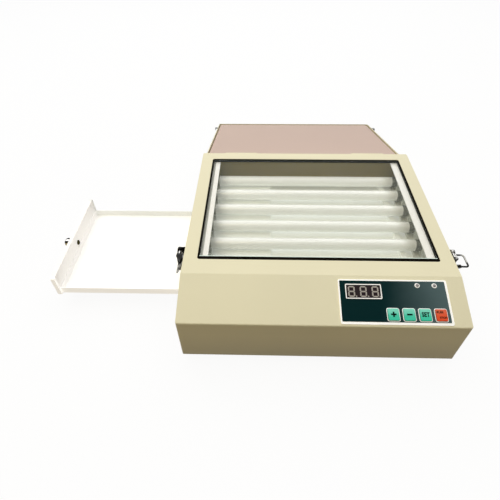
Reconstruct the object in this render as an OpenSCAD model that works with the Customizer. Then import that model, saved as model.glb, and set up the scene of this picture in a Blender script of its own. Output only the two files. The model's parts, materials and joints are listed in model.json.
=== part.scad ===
// Bench exposure unit for screen printing: a sheet-metal case with six ultraviolet tubes under a
// glass plate, a padded lid that folds back behind it, a drying drawer and a timer panel.
// Millimetres, +X right, +Y to the rear, +Z up. The origin is the centre of the case's underside.

/* [Case] */
// Depth of the case from front to back
case_d = 311; // [300:1:340]
// Height of the flat top above the underside
case_h = 82; // [80:0.5:90]
// Height of the upright front face
front_h = 63.5; // [60:0.5:66]
// Depth of the sloping control face, seen from above
slope_run = 56.5; // [55:0.5:60]
// Thickness of the case's sheet metal
sheet = 1.2; // [1:0.1:1.5]
// Outside radius of the bends in the front and top
bend_r = 2; // [1.6:0.1:3]
// Radius of the rear upright corners
rear_corner_r = 5; // [3:0.5:6]
// Radius of the front upright corners
front_corner_r = 2; // [1.6:0.1:3]

/* [Window] */
// Width of the frame beside the window
win_side = 16.5; // [14:0.5:18]
// Width of the frame in front of the window
win_front = 22.8; // [20:0.2:26]
// Width of the frame behind the window
win_rear = 17.5; // [15:0.5:20]
// Corner radius of the window
win_r = 3; // [2:0.5:4]
// Width of the rubber strip between frame and glass
gasket_w = 2; // [1.8:0.1:3]
// Width of that strip along the window's front
gasket_front_w = 5.5; // [2:0.5:6]
// Thickness of the glass plate
glass_t = 4; // [3:0.5:5]
// How far the glass lies below the top of the frame
glass_drop = 0.8; // [0.6:0.1:1.5]
// Width of each white strip that carries the glass, from the side wall
ledge_w = 27; // [24:0.5:30]
// Height of the upright leg of those strips
ledge_h = 12; // [8:1:16]

/* [Lamps] */
// Distance from a lamp's end to the side wall, which sets the case's width
lamp_room = 16; // [15:0.5:20]
// Distance between two tubes
tube_pitch = 35.5; // [30:0.5:36]
// Distance from the case's back to the rear tube's axis
tube_back = 28; // [27:0.5:30]
// Height of the tube axes above the underside
tube_z = 48; // [46.5:0.5:50]
// Diameter of the glass tubes
tube_d = 15.6; // [15:0.1:16]
// Length of a lamp between its end faces
lamp_len = 288; // [280:1:292]
// Length of a metal end cap
cap_len = 8; // [6:0.5:10]
// How far the lamps stand to the right of the centre
lamp_shift = 2; // [0:0.5:3]
// Length of the contact pins
pin_len = 6.5; // [5:0.5:7]
// Distance between the two pins of a cap
pin_gap = 4.75; // [4.5:0.05:5]
// Thickness of a lamp holder
holder_t = 8; // [7:0.5:9]
// Width of a lamp holder
holder_w = 22; // [19:0.5:24]
// Length of the holder's foot under the tube
foot_len = 7; // [5:0.5:12]
// Height of the reflector floor's top
reflector_z = 32; // [31:0.5:33]
// Thickness of the reflector's sheet
reflector_t = 1; // [0.8:0.1:1.2]
// Height of the white cover strips on the reflector
cover_h = 5.5; // [4:0.5:6]
// Width of the left cover strip, which starts at the lamp holders
left_cover_w = 80; // [60:1:110]
// Width of the right cover strip
right_cover_w = 8; // [6:1:20]
// Distance of the right cover strip from the lamp holders
right_cover_step = 8; // [0:1:12]

/* [Drawer] */
// Width of the tray, from front to back
tray_w = 157; // [140:1:160]
// Length of the tray
tray_len = 250; // [220:1:260]
// Height of the tray's walls
tray_h = 10; // [8:0.5:12]
// Height of the tray's underside
tray_z = 11.2; // [11:0.1:12]
// Thickness of the tray's sheet
tray_t = 1; // [0.8:0.1:1.2]
// How far the drawer is pulled out at rest
drawer_out = 170; // [150:1:190]
// Gap between the lamp compartment's front wall and the tray
drawer_gap = 4.5; // [3:0.5:6]
// Width of the drawer's front panel
drawer_front_w = 163; // [161:0.5:166]
// Height of the drawer's front panel
drawer_front_h = 31.5; // [28:0.5:34]
// Height of the panel's lower edge
drawer_front_z = 10; // [8:0.5:10]
// Thickness of the front panel's sheet
drawer_front_t = 1.2; // [1:0.1:1.5]
// Depth of the folded edge round the front panel
drawer_fold = 5; // [3:0.5:8]
// Diameter of the knob's head
knob_d = 12.5; // [11:0.5:14]
// Height of the knob's axis
knob_z = 27.2; // [26:0.1:27.2]

/* [Lid] */
// How far each side of the lid stays inside the case's side
lid_inset = 1; // [0.5:0.1:4]
// Distance from the case's front to the closed lid's free edge
lid_front = 62.4; // [60:0.2:72]
// Height of the lid's rim walls
lid_h = 14; // [12:0.5:14]
// Corner radius of the lid
lid_r = 4; // [3:0.5:8]
// Gap between the closed lid's rim and the case
lid_gap = 0.3; // [0.3:0.1:1]
// Angle between closed and fully open
lid_open = 196.2; // [190:0.1:196.5]
// Gap round the foam pad
pad_gap = 1.3; // [0.3:0.1:2]
// Rounding of the foam pad's edge
pad_edge = 2.5; // [1:0.5:4]
// Distance of the hinge pin behind the case
hinge_back = 3.2; // [3.1:0.1:4]
// Distance of the hinge pin below the case's top
hinge_drop = 5.2; // [5:0.1:6]
// Length of one hinge
hinge_len = 50; // [40:1:60]
// Distance of each hinge's middle from the side wall
hinge_side = 60; // [45:1:80]
// Outside diameter of the hinge knuckles
knuckle_d = 5.8; // [5.4:0.1:6]
// Diameter of the hinge pins
pin_d = 3; // [2.5:0.1:3.2]

/* [Latches] */
// Distance of the latches behind the case's front
latch_y = 100; // [90:1:120]
// Distance of the lever's pivot below the case's top
latch_drop = 10.4; // [8:0.1:10.4]
// Distance of the lever's pivot from the side wall
latch_out = 8.6; // [8:0.1:9]
// Distance from the lever's pivot to the loop's pivot
latch_throw = 9; // [8:0.5:10]
// Length of the wire loop
loop_len = 22; // [20:0.5:23]
// Width of the wire loop between its legs
loop_w = 19.6; // [19.2:0.1:22]
// Diameter of the loop's wire
loop_wire = 2.2; // [1.8:0.1:2.4]
// Length of the lever
lever_len = 27; // [24:0.5:27]
// Angle of the right loop above level
right_loop_angle = -2; // [-30:1:60]
// Angle of the left loop above level
left_loop_angle = -64; // [-76:1:60]

/* [Control panel] */
// Width of the control plate
plate_w = 121; // [115:1:125]
// Height of the control plate along the slope
plate_h = 52; // [50:0.5:54]
// Thickness of the control plate
plate_t = 0.8; // [0.6:0.1:1]
// Distance from the plate's right edge to the side wall
plate_side = 19.5; // [15:0.5:25]
// Distance of the plate's lower edge above the slope's lower edge
plate_s = 2.5; // [2:0.1:4]
// Width of one key
key_w = 12.1; // [11:0.1:14.5]
// Height of one key along the slope
key_h = 13.3; // [12:0.1:15]
// Distance between two keys
key_pitch = 17.1; // [16:0.1:18]
// How far a key travels
key_travel = 0.45; // [0.3:0.05:0.5]
// Width of the display
display_w = 37.8; // [36:0.1:38]
// Height of the display's face
display_h = 15.3; // [14.5:0.1:16]
// Height of one digit
digit_h = 12.8; // [11:0.1:13]
// Distance between two digits
digit_pitch = 13.1; // [12:0.1:13.2]

/* [Rear panel and feet] */
// Distance from the mains inlet's middle to the side wall
inlet_side = 70; // [45:1:80]
// Distance from the inlet's middle to the fuse holder
fuse_step = 42; // [38:1:50]
// Distance from the fuse holder to the mains switch
switch_step = 30; // [24:1:38]
// Height of the rear fittings above the underside
rear_z = 20; // [18:0.5:20]
// How far the switch rocks to either side
rocker_tilt = 9; // [6:0.5:10]
// Height of the rubber feet
foot_h = 13; // [13:0.5:16]
// Diameter of the rubber feet at the top
foot_d = 26; // [20:1:30]

/* [Hidden] */
$fn = 32;

// Small sizes that the pieces share
eps = 0.01;
cut = 5;
fit_gap = 0.1;
run_gap = 0.06;
slide_gap = 0.5;
screw_d = 4;
screw_head_d = 7.5;
screw_head_h = 2.2;
rivet_d = 3.2;
rivet_head_d = 6;
rivet_head_h = 0.6;
arc_steps = 5;

// Planes of the case
case_w = lamp_len + 2 * lamp_room;
x_left = -case_w / 2;
x_right = case_w / 2;
y_front = -case_d / 2;
y_back = case_d / 2;
slope_angle = atan((case_h - front_h) / slope_run);

// Window and glass
win_x = x_right - win_side;
win_y0 = y_front + slope_run + win_front;
win_y1 = y_back - win_rear;
glass_top = case_h - glass_drop;
glass_bottom = glass_top - glass_t;
gasket_top = case_h - sheet / 2;

// Bottom plate
flange_h = 9;
bottom_screw_z = 5.2;
bottom_screw_y = case_d / 2 - 26;
bottom_screw_x = case_w / 2 - 30;
foot_x = case_w / 2 - 30;
foot_y = case_d / 2 - 31;
foot_bore_d = 9;
foot_bore_h = 6;

// Lamp compartment
tube_count = 6;
bulkhead_y = win_y0 - 3.3;
baffle_y = y_back - 9;
ledge_top = glass_bottom;
lamp_x0 = lamp_shift - lamp_len / 2;
lamp_x1 = lamp_shift + lamp_len / 2;
cap_d = tube_d + 0.4;
pin_r = 1.1;
holder_gap = 0.2;
cover_gap = 2.2;
cover_t = 1;
cover_front = 8;
cover_rear = 3;
reflector_side_h = 12;

// Drawer
drawer_y = bulkhead_y + reflector_t + drawer_gap + tray_w / 2;
tray_x0 = x_left - drawer_out;
tray_y0 = drawer_y - tray_w / 2;
tray_y1 = drawer_y + tray_w / 2;
slot_gap = 1;
slot_top = reflector_z - 0.5;
runner_x1 = x_left + tray_len + 5;
runner_lip = 9;
runner_shelf = 10;
runner_t = 1;

// Lid and hinge
lid_w = case_w - 2 * lid_inset;
lid_len = case_d - lid_front;
hinge_x = x_right - hinge_side;
lid_z0 = case_h + lid_gap;
lid_z1 = lid_z0 + lid_h;
hinge_y = y_back + hinge_back;
hinge_z = case_h - hinge_drop;
leaf_t = 1;
leaf_gap = 0.4;
case_leaf_h = 13.5;
case_leaf_z = hinge_z - knuckle_d / 2 - leaf_gap - case_leaf_h;
case_rivet_rise = case_leaf_h / 2;
lid_rivet_rise = 4.4;
lid_leaf_rise = 8;
lid_leaf_z = lid_z0 + lid_leaf_rise;
knuckles = 5;

// Latch
latch_z = case_h - latch_drop;
latch_row_y = y_front + latch_y;
ear_in = 5.8;
ear_t = 1;
axle_r = 1.15;
lever_w = 11.2;
lever_wall = 1.2;
lever_back = latch_out + 2;
loop_x = 5;
loop_z = latch_z - latch_throw;
hook_lean = 3;
bar_x = x_right + loop_x - hook_lean;
bar_z = loop_z + sqrt(loop_len * loop_len - hook_lean * hook_lean);
spring_od = 5;
spring_wire = 0.9;
spring_turns = 5;
spring_pitch = 1.9;
spring_start = 2;
base_z0 = drawer_front_z + drawer_front_h + 1;
base_z1 = latch_z + 4;
base_w = 16;
base_t = 1;
base_rivets = [5, 17];
catch_w = 13;
hook_w = 8;
catch_t = 1;
catch_rivet_step = 3.4;
catch_rivet_rise = 9.5;
catch_top_drop = 1.5;

// Control panel, measured along and above the slope
plate_x = x_right - plate_side - plate_w / 2;
film_t = 0.3;
face_w = plate_t + film_t;
plate_s1 = plate_s + plate_h;
display_step = 27.4;
first_key_step = 63.95;
led_steps = [33.1, 14.2];
panel_cut_x = plate_w / 2 - 6;
panel_cut_s = 4.2;
board_gap = 12.4;
board_t = 1.6;
key_s = 13.6;
key_x0 = plate_x + plate_w / 2 - first_key_step;
key_rise = 0.95;
key_lift = key_travel + 0.1;
key_r = 1.5;
stem_d = 5;
tact_h = 5;
display_x = plate_x - plate_w / 2 + display_step;
display_s = 39.8;
bezel_t = 0.9;
bezel_w = 1;
digit_w = 7.6;
segment_w = 1.5;
led_s = 47.7;
led_x = [for (step = led_steps) plate_x + plate_w / 2 - step];
led_d = 3.6;
ring_d = 5.8;
ring_h = 0.7;
ring_bevel = 0.4;

// Rear fittings
inlet_x = x_right - inlet_side;
fuse_x = inlet_x - fuse_step;
switch_x = fuse_x - switch_step;
inlet_w = 50;
inlet_h = 24;
inlet_body_w = 27;
inlet_body_h = 19.8;
inlet_depth = 26;
inlet_screws = 40;
pin_steps = [-7, 0, 7];
pin_w = 2;
pin_tall = 4;
function pin_height(dx) = dx == 0 ? 1.3 : -2.7;
fuse_d = 12;
fuse_cap_d = 15;
switch_w = 21;
switch_h = 15;
switch_body_w = 18.8;
switch_body_h = 12.6;
switch_depth = 16;
switch_wall = 1.2;

// Points of an outline with each corner rounded to its own radius
function unit(v) = v / norm(v);
function corner_arc(a, b, c, r) = r <= 0 ? [b] :
    let (u = unit(a - b), v = unit(c - b), half = acos(u * v) / 2)
    let (mid = b + unit(u + v) * r / sin(half), start = b + u * r / tan(half) - mid)
    let (a0 = atan2(start.y, start.x), turn = sign(cross(b - a, c - b)) * (180 - 2 * half))
    [for (i = [0:arc_steps]) mid + r * [cos(a0 + turn * i / arc_steps), sin(a0 + turn * i / arc_steps)]];
function rounded(pts, radii) = let (n = len(pts))
    [for (i = [0:n - 1]) each corner_arc(pts[(i + n - 1) % n], pts[i], pts[(i + 1) % n], radii[i])];
function box_points(x0, y0, x1, y1) = [[x0, y0], [x1, y0], [x1, y1], [x0, y1]];
function even_corners(r) = [r, r, r, r];
function even_box(w, h, r) = rounded(box_points(-w / 2, -h / 2, w / 2, h / 2), even_corners(r));
window_outline = rounded(box_points(-win_x, win_y0, win_x, win_y1), even_corners(win_r));
glass_outline = box_points(-win_x + gasket_w, win_y0 + gasket_front_w, win_x - gasket_w, win_y1 - gasket_w);

// Side view of the case at a distance inside its outer surface, reaching below by drop
function case_side(inset, drop) =
    let (y0 = y_front + inset, y1 = y_back - inset, top = case_h - inset)
    let (rise = inset / cos(slope_angle), k = tan(slope_angle), r = max(bend_r - inset, 0.4))
    let (z_low = front_h - rise + k * inset, y_break = y_front + (top - front_h + rise) / k)
    rounded([[y0, -drop], [y1, -drop], [y1, top], [y_break, top], [y0, z_low]], [0, 0, r, r, r]);

// Plan of the case at a distance inside its outer surface
function case_plan(inset) =
    let (rf = max(front_corner_r - inset, 0.4), rb = max(rear_corner_r - inset, 0.4))
    rounded(box_points(x_left + inset, y_front + inset, x_right - inset, y_back - inset), [rf, rf, rb, rb]);

module slab(z0, z1) {
    translate([0, 0, z0]) linear_extrude(z1 - z0) children();
}
module along_x(x0, x1) {
    translate([x0, 0, 0]) rotate([90, 0, 90]) linear_extrude(x1 - x0) children();
}
module along_y(y0, y1) {
    translate([0, y1, 0]) rotate([90, 0, 0]) linear_extrude(y1 - y0) children();
}
module rod_x(x0, x1, r) {
    translate([x0, 0, 0]) rotate([0, 90, 0]) cylinder(h = x1 - x0, r = r);
}
module rod_y(y0, y1, r) {
    translate([0, y0, 0]) rotate([-90, 0, 0]) cylinder(h = y1 - y0, r = r);
}
module right_and_left() {
    children();
    mirror([1, 0, 0]) children();
}

// Puts children on the slope: x stays, y runs up the slope and z stands out of it
module on_slope() {
    translate([0, y_front, front_h]) rotate([slope_angle, 0, 0]) children();
}

// A full solid of the case at a distance inside its outer surface
module case_solid(inset, drop) {
    intersection() {
        along_x(x_left + inset, x_right - inset) polygon(case_side(inset, drop));
        slab(-drop - 1, case_h + 1) polygon(case_plan(inset));
    }
}

// Screw with its head's underside at z = 0, head upwards
module pan_screw(length) {
    difference() {
        rotate_extrude() polygon([
            [0, -length], [screw_d / 2 - 0.5, -length], [screw_d / 2 - 0.1, -length + 0.8],
            [screw_d / 2 - 0.1, 0], [screw_head_d / 2, 0], [screw_head_d / 2, screw_head_h * 0.45],
            [screw_head_d * 0.42, screw_head_h * 0.8], [screw_head_d * 0.25, screw_head_h], [0, screw_head_h]
        ]);
        for (turn = [0, 90]) rotate(turn)
            translate([-2, -0.4, screw_head_h - 1]) cube([4, 0.8, 2]);
    }
}

// Rivet with its head's underside at z = 0
module rivet(length) {
    rotate_extrude() polygon([
        [0, -length], [rivet_d / 2 - 0.05, -length], [rivet_d / 2 - 0.05, 0], [rivet_head_d / 2, 0],
        [rivet_head_d * 0.42, rivet_head_h * 0.7], [rivet_head_d * 0.25, rivet_head_h], [0, rivet_head_h]
    ]);
}

// Places of the screws that hold the bottom plate to the walls
module wall_screw_places() {
    for (side = [-1, 1], y = [-bottom_screw_y, bottom_screw_y])
        translate([side * case_w / 2, y, bottom_screw_z]) rotate([0, side * 90, 0]) children();
    for (x = [-bottom_screw_x, bottom_screw_x])
        translate([x, y_back, bottom_screw_z]) rotate([-90, 0, 0]) children();
}

module foot_places() {
    for (x = [-foot_x, foot_x], y = [-foot_y, foot_y]) translate([x, y, 0]) children();
}

module inlet_screw_places() {
    for (dx = [-inlet_screws / 2, inlet_screws / 2])
        translate([inlet_x + dx, y_back, rear_z]) rotate([-90, 0, 0]) children();
}

// Rivets that hold each latch base to its side wall
module latch_rivet_places() {
    right_and_left() for (dz = base_rivets)
        translate([x_right, latch_row_y, base_z0 + dz]) rotate([0, 90, 0]) children();
}

// Rivets through the case's hinge leaves
module case_hinge_rivet_places() {
    step = hinge_len * 0.36;
    z = case_leaf_z + case_rivet_rise;
    for (side = [-1, 1], dx = [-step, 0, step])
        translate([side * hinge_x + dx, y_back, z]) rotate([-90, 0, 0]) children();
}

// Rivets through the lid's hinge leaves, with the lid closed
module lid_hinge_rivet_places() {
    step = hinge_len * 0.2;
    z = lid_z0 + lid_rivet_rise;
    for (side = [-1, 1], dx = [-step, step])
        translate([side * hinge_x + dx, y_back, z]) rotate([-90, 0, 0]) children();
}

// Rivets through the catches, with the lid closed
module catch_rivet_places() {
    right_and_left() for (dy = [-catch_rivet_step, catch_rivet_step])
        translate([lid_w / 2, latch_row_y + dy, lid_z0 + catch_rivet_rise]) rotate([0, 90, 0]) children();
}

module case_shell() {
    color("wheat") difference() {
        case_solid(0, 0);
        case_solid(sheet, cut);
        slab(case_h - cut, case_h + cut)
            polygon(window_outline);
        on_slope() translate([plate_x, 0, -cut]) linear_extrude(2 * cut) polygon(
            rounded(box_points(-panel_cut_x, plate_s + panel_cut_s, panel_cut_x, plate_s1 - panel_cut_s),
                even_corners(2)));
        along_x(x_left - cut, x_left + cut) polygon(rounded(
            box_points(tray_y0 - slot_gap, tray_z - slot_gap, tray_y1 + slot_gap, slot_top),
            even_corners(1)));
        translate([inlet_x, 0, rear_z]) along_y(y_back - cut, y_back + cut)
            polygon(even_box(inlet_body_w + 2 * fit_gap, inlet_body_h + 2 * fit_gap, 2));
        translate([switch_x, 0, rear_z]) along_y(y_back - cut, y_back + cut)
            polygon(even_box(switch_body_w + 2 * fit_gap, switch_body_h + 2 * fit_gap, 1));
        translate([fuse_x, 0, rear_z]) rod_y(y_back - cut, y_back + cut, fuse_d / 2 + fit_gap);
        wall_screw_places() cylinder(h = 2 * cut, r = screw_d / 2 + fit_gap, center = true);
        inlet_screw_places() cylinder(h = 2 * cut, r = screw_d / 2 + fit_gap, center = true);
        latch_rivet_places() cylinder(h = 2 * cut, r = rivet_d / 2, center = true);
        case_hinge_rivet_places() cylinder(h = 2 * cut, r = rivet_d / 2, center = true);
    }
}

// Folded pan that closes the underside, with vent slots and turned-up edges
module bottom_plate() {
    slots = 9;
    slot_pitch = 8;
    slot_x = 62;
    slot_y = y_front + 40.5;
    slot_w = 3.5;
    slot_len = 34;
    slot_r = 1.7;
    color("wheat") difference() {
        slab(0, flange_h) polygon(case_plan(sheet + fit_gap));
        slab(sheet, flange_h + cut) polygon(case_plan(2 * sheet + fit_gap));
        for (side = [-1, 1], i = [0:slots - 1])
            translate([side * slot_x + (i - (slots - 1) / 2) * slot_pitch, slot_y, -cut])
                linear_extrude(2 * cut) polygon(even_box(slot_w, slot_len, slot_r));
        wall_screw_places() cylinder(h = 3 * cut, r = screw_d / 2, center = true);
        foot_places() cylinder(h = 2 * cut, r = screw_d / 2, center = true);
    }
}

module case_screws() {
    wall_screw_len = 7;
    foot_screw_len = foot_h - foot_bore_h + 4;
    color("silver") {
        wall_screw_places() pan_screw(wall_screw_len);
        foot_places() translate([0, 0, foot_bore_h - foot_h]) rotate([180, 0, 0]) pan_screw(foot_screw_len);
    }
}

module rubber_feet() {
    taper = 2.5;
    color("dimgray") foot_places() difference() {
        translate([0, 0, -foot_h]) cylinder(h = foot_h, r1 = foot_d / 2 - taper, r2 = foot_d / 2);
        translate([0, 0, -foot_h - 1]) cylinder(h = foot_bore_h + 1, r = foot_bore_d / 2);
        translate([0, 0, -foot_h]) cylinder(h = foot_h + 1, r = screw_d / 2 + fit_gap);
    }
}

module glass_gasket() {
    color([0.06, 0.06, 0.05]) slab(ledge_top, gasket_top) difference() {
        polygon(window_outline);
        polygon(glass_outline);
    }
}

module glass_plate() {
    color([0.75, 0.9, 0.88, 0.35]) slab(glass_bottom, glass_top) polygon(glass_outline);
}

// Angle strips welded to the side walls, which carry the glass
module glass_ledges() {
    x1 = x_right - sheet;
    x0 = x1 - ledge_w;
    color("whitesmoke") right_and_left() along_y(bulkhead_y + reflector_t, baffle_y) polygon([
        [x1, ledge_top], [x0, ledge_top], [x0, ledge_top - sheet],
        [x1 - sheet, ledge_top - sheet], [x1 - sheet, ledge_top - ledge_h], [x1, ledge_top - ledge_h]
    ]);
}

// White reflector floor with the wall that parts the lamps from the timer's compartment
module reflector_tray() {
    x1 = x_right - 2 * sheet - 2 * fit_gap;
    y1 = y_back - 2 * sheet - 2 * fit_gap;
    z0 = reflector_z - reflector_t;
    color("whitesmoke") {
        along_x(-x1, x1) polygon([
            [bulkhead_y, sheet], [bulkhead_y + reflector_t, sheet], [bulkhead_y + reflector_t, z0],
            [y1, z0], [y1, reflector_z], [bulkhead_y + reflector_t, reflector_z],
            [bulkhead_y + reflector_t, ledge_top - sheet], [bulkhead_y, ledge_top - sheet]
        ]);
        right_and_left() translate([x1 - reflector_t, bulkhead_y + reflector_t, reflector_z])
            cube([reflector_t, baffle_y - bulkhead_y - reflector_t, reflector_side_h]);
    }
}

module rear_baffle() {
    x1 = x_right - 2 * sheet - fit_gap;
    color([0.42, 0.39, 0.28]) translate([-x1, baffle_y, reflector_z])
        cube([2 * x1, reflector_t, ledge_top - sheet - reflector_z]);
}

// Folded white strips that cover the wiring under the tubes, clear of the lamp holders' feet
module reflector_covers() {
    y0 = bulkhead_y + cover_front;
    y1 = baffle_y - cover_rear;
    foot_clear = holder_gap - foot_len - cover_gap;
    right_cover_x = lamp_x1 + foot_clear - right_cover_step;
    t = cover_t;
    for (span = [[lamp_x0 - foot_clear, lamp_x0 - foot_clear + left_cover_w],
        [right_cover_x - right_cover_w, right_cover_x]])
        color("white") along_y(y0, y1) difference() {
            polygon(rounded(box_points(span[0], reflector_z, span[1], reflector_z + cover_h), [0, 0, t, t]));
            polygon(box_points(span[0] + t, reflector_z - t, span[1] - t, reflector_z + cover_h - t));
        }
}

// Electronic ballasts, one for each pair of tubes, in the front compartment
module ballasts() {
    w = 78;
    d = 32;
    h = 22;
    pitch = 100;
    tab_len = 7;
    tab_w = 12;
    tab_t = 1;
    corner_r = 2;
    wall_gap = 6;
    y = bulkhead_y - d / 2 - wall_gap;
    color("gainsboro") for (i = [-1, 0, 1]) translate([i * pitch, y, sheet]) {
        slab(0, h) polygon(even_box(w, d, corner_r));
        slab(0, tab_t) polygon(even_box(w + 2 * tab_len, tab_w, corner_r));
    }
}

module at_tube(i) {
    translate([0, y_back - tube_back - (i - 1) * tube_pitch, tube_z]) children();
}

// Glass envelope of one lamp, counted from the rear
module uv_tube(i) {
    if (i <= tube_count)
        color("ghostwhite") at_tube(i) rod_x(lamp_x0 + cap_len, lamp_x1 - cap_len, tube_d / 2);
}

// A metal cap with its two pins, its end face at x = 0 and the tube towards +x
module end_cap() {
    bevel = 0.8;
    roll = 1;
    rotate([0, 90, 0]) rotate_extrude() polygon([
        [0, 0], [cap_d / 2 - bevel, 0], [cap_d / 2, bevel], [cap_d / 2, cap_len - roll],
        [tube_d / 2, cap_len], [0, cap_len]
    ]);
    for (side = [-1, 1]) translate([0, side * pin_gap / 2, 0]) rod_x(-pin_len, eps, pin_r);
}

module tube_caps() {
    color("silver") for (i = [1:tube_count]) at_tube(i) {
        translate([lamp_x0, 0, 0]) end_cap();
        translate([lamp_x1, 0, 0]) mirror([1, 0, 0]) end_cap();
    }
}

// A lamp holder whose contact face is at x = 0, with the tube towards +x
module holder() {
    drop = tube_z - reflector_z;
    foot_h = cover_h - 0.5;
    foot_w = holder_w - 4;
    play = 0.3;
    slot_depth = pin_len + holder_gap + play;
    slot_h = 2 * (pin_r + play);
    difference() {
        union() {
            along_x(-holder_t, 0) {
                circle(r = holder_w / 2);
                translate([-holder_w / 2, -drop]) square([holder_w, drop]);
            }
            translate([-holder_t, -foot_w / 2, -drop]) cube([holder_t + foot_len, foot_w, foot_h]);
        }
        rod_x(-slot_depth, cut, pin_gap / 2 + pin_r + play);
        translate([-slot_depth, -slot_h / 2, 0]) cube([slot_depth + cut, slot_h, holder_w]);
    }
}

module lamp_holders() {
    color([0.72, 0.74, 0.68]) for (i = [1:tube_count]) at_tube(i) {
        translate([lamp_x0 - holder_gap, 0, 0]) holder();
        translate([lamp_x1 + holder_gap, 0, 0]) mirror([1, 0, 0]) holder();
    }
}

// Channels on the bottom plate that carry and guide the tray
module drawer_runners() {
    shelf_top = tray_z - fit_gap;
    profile = [
        [0, sheet], [runner_t + runner_shelf, sheet], [runner_t + runner_shelf, sheet + runner_t],
        [runner_t, sheet + runner_t], [runner_t, shelf_top - runner_t],
        [runner_t + runner_shelf, shelf_top - runner_t], [runner_t + runner_shelf, shelf_top],
        [runner_t, shelf_top], [runner_t, shelf_top + runner_lip], [0, shelf_top + runner_lip]
    ];
    x0 = x_left + 2 * sheet + 2 * fit_gap;
    color("silver") translate([0, drawer_y, 0]) for (side = [0, 1]) mirror([0, side, 0])
        translate([0, -tray_w / 2 - slide_gap - runner_t, 0]) along_x(x0, runner_x1) polygon(profile);
}

// White plate on the slope, with openings for the display, keys and lamps
module control_plate() {
    color("white") on_slope() difference() {
        translate([plate_x, plate_s + plate_h / 2, 0]) linear_extrude(plate_t)
            polygon(even_box(plate_w, plate_h, 2));
        panel_openings(-1, plate_t + 1);
    }
}

module panel_openings(w0, w1) {
    translate([display_x, display_s, w0]) linear_extrude(w1 - w0)
        square([display_w + 2 * fit_gap, display_h + 2 * fit_gap], center = true);
    for (i = [0:3]) translate([key_x0 + i * key_pitch, key_s, w0])
        cylinder(h = w1 - w0, r = stem_d / 2 + 2 * fit_gap);
    for (x = led_x) translate([x, led_s, w0]) cylinder(h = w1 - w0, r = led_d / 2 + fit_gap);
}

// Dark film on the plate, which leaves a white border
module control_film() {
    x0 = -plate_w / 2 + 1.5;
    x1 = plate_w / 2 - 2.5;
    s0 = plate_s + 2.8;
    s1 = plate_s1 - 1.7;
    color([0.03, 0.22, 0.24]) on_slope() difference() {
        translate([plate_x, 0, plate_t]) linear_extrude(film_t)
            polygon(rounded(box_points(x0, s0, x1, s1), even_corners(1)));
        panel_openings(0, plate_t + film_t + 1);
    }
}

module display_bezel() {
    color("white") on_slope() translate([display_x, display_s, face_w]) linear_extrude(bezel_t) difference() {
        polygon(even_box(display_w + 2 * bezel_w, display_h + 2 * bezel_w, 1));
        square([display_w + 2 * fit_gap, display_h + 2 * fit_gap], center = true);
    }
}

module display_module() {
    color([0.1, 0.1, 0.11]) on_slope() translate([display_x, display_s, -board_gap])
        linear_extrude(board_gap + face_w) square([display_w, display_h], center = true);
}

// One bar of a digit, pointed at both ends
module segment(length) {
    h = segment_w / 2;
    x = length / 2;
    polygon([[-x, 0], [-x + h, h], [x - h, h], [x, 0], [x - h, -h], [-x + h, -h]]);
}

module digit() {
    gap = 0.3;
    w = digit_w - segment_w;
    h = digit_h - segment_w;
    point_r = 0.8;
    point_step = 1.3;
    for (row = [-1, 0, 1]) translate([0, row * h / 2]) segment(w - gap);
    for (col = [-1, 1], row = [-1, 1])
        translate([col * w / 2, row * h / 4]) rotate(90) segment(h / 2 - gap);
    translate([digit_w / 2 + point_step, -h / 2]) circle(r = point_r);
}

module display_digits() {
    rise = 0.15;
    color([0.45, 0.5, 0.5]) on_slope() translate([display_x, display_s, face_w]) linear_extrude(rise)
        for (i = [-1, 0, 1]) translate([i * digit_pitch, 0]) digit();
}

module led_lenses() {
    color([0.75, 0.2, 0.15]) on_slope() for (x = led_x) translate([x, led_s, -board_gap]) {
        cylinder(h = board_gap + face_w, r = led_d / 2);
        translate([0, 0, board_gap + face_w]) intersection() {
            sphere(r = led_d / 2);
            translate([0, 0, led_d / 2]) cube([led_d, led_d, led_d], center = true);
        }
    }
}

module led_rings() {
    r0 = led_d / 2 + fit_gap;
    r1 = ring_d / 2;
    color("white") on_slope() for (x = led_x) translate([x, led_s, face_w]) rotate_extrude()
        polygon([[r0, 0], [r1, 0], [r1 - ring_bevel, ring_h], [r0, ring_h]]);
}

// Circuit board under the slope
module control_board() {
    w = plate_w + 8;
    h = plate_h - 4;
    color("darkgreen") on_slope() translate([plate_x, plate_s + plate_h / 2, -board_gap - board_t])
        linear_extrude(board_t) square([w, h], center = true);
}

// Spacers, key switches, relay, transformer and capacitor on the board
module board_parts() {
    spacer_x = plate_w / 2;
    spacer_s = plate_h / 2 - 5;
    spacer_r = 3;
    spacer_bore_r = 1.5;
    tact_w = 6;
    tact_body_h = tact_h - 1.4;
    tact_r = 1.75;
    relay = [20, 16, 15];
    relay_at = [plate_x - 50, plate_s + 12];
    transformer = [28, 24, 20];
    transformer_at = [plate_x - 8, plate_s + 10];
    capacitor_r = 5;
    capacitor_h = 14;
    capacitor_at = [plate_x + 40, plate_s + 20];
    under = -board_gap - board_t;
    color("slategray") on_slope() {
        for (dx = [-spacer_x, spacer_x], ds = [-spacer_s, spacer_s])
            translate([plate_x + dx, plate_s + plate_h / 2 + ds, -board_gap]) difference() {
                cylinder(h = board_gap - sheet, r = spacer_r, $fn = 6);
                translate([0, 0, -1]) cylinder(h = board_gap, r = spacer_bore_r);
            }
        for (i = [0:3]) translate([key_x0 + i * key_pitch, key_s, -board_gap]) {
            translate([-tact_w / 2, -tact_w / 2, 0]) cube([tact_w, tact_w, tact_body_h]);
            cylinder(h = tact_h, r = tact_r);
        }
        translate([relay_at.x, relay_at.y, under - relay.z]) cube(relay);
        translate([transformer_at.x, transformer_at.y, under - transformer.z]) cube(transformer);
        translate([capacitor_at.x, capacitor_at.y, under - capacitor_h])
            cylinder(h = capacitor_h, r = capacitor_r);
    }
}

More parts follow.
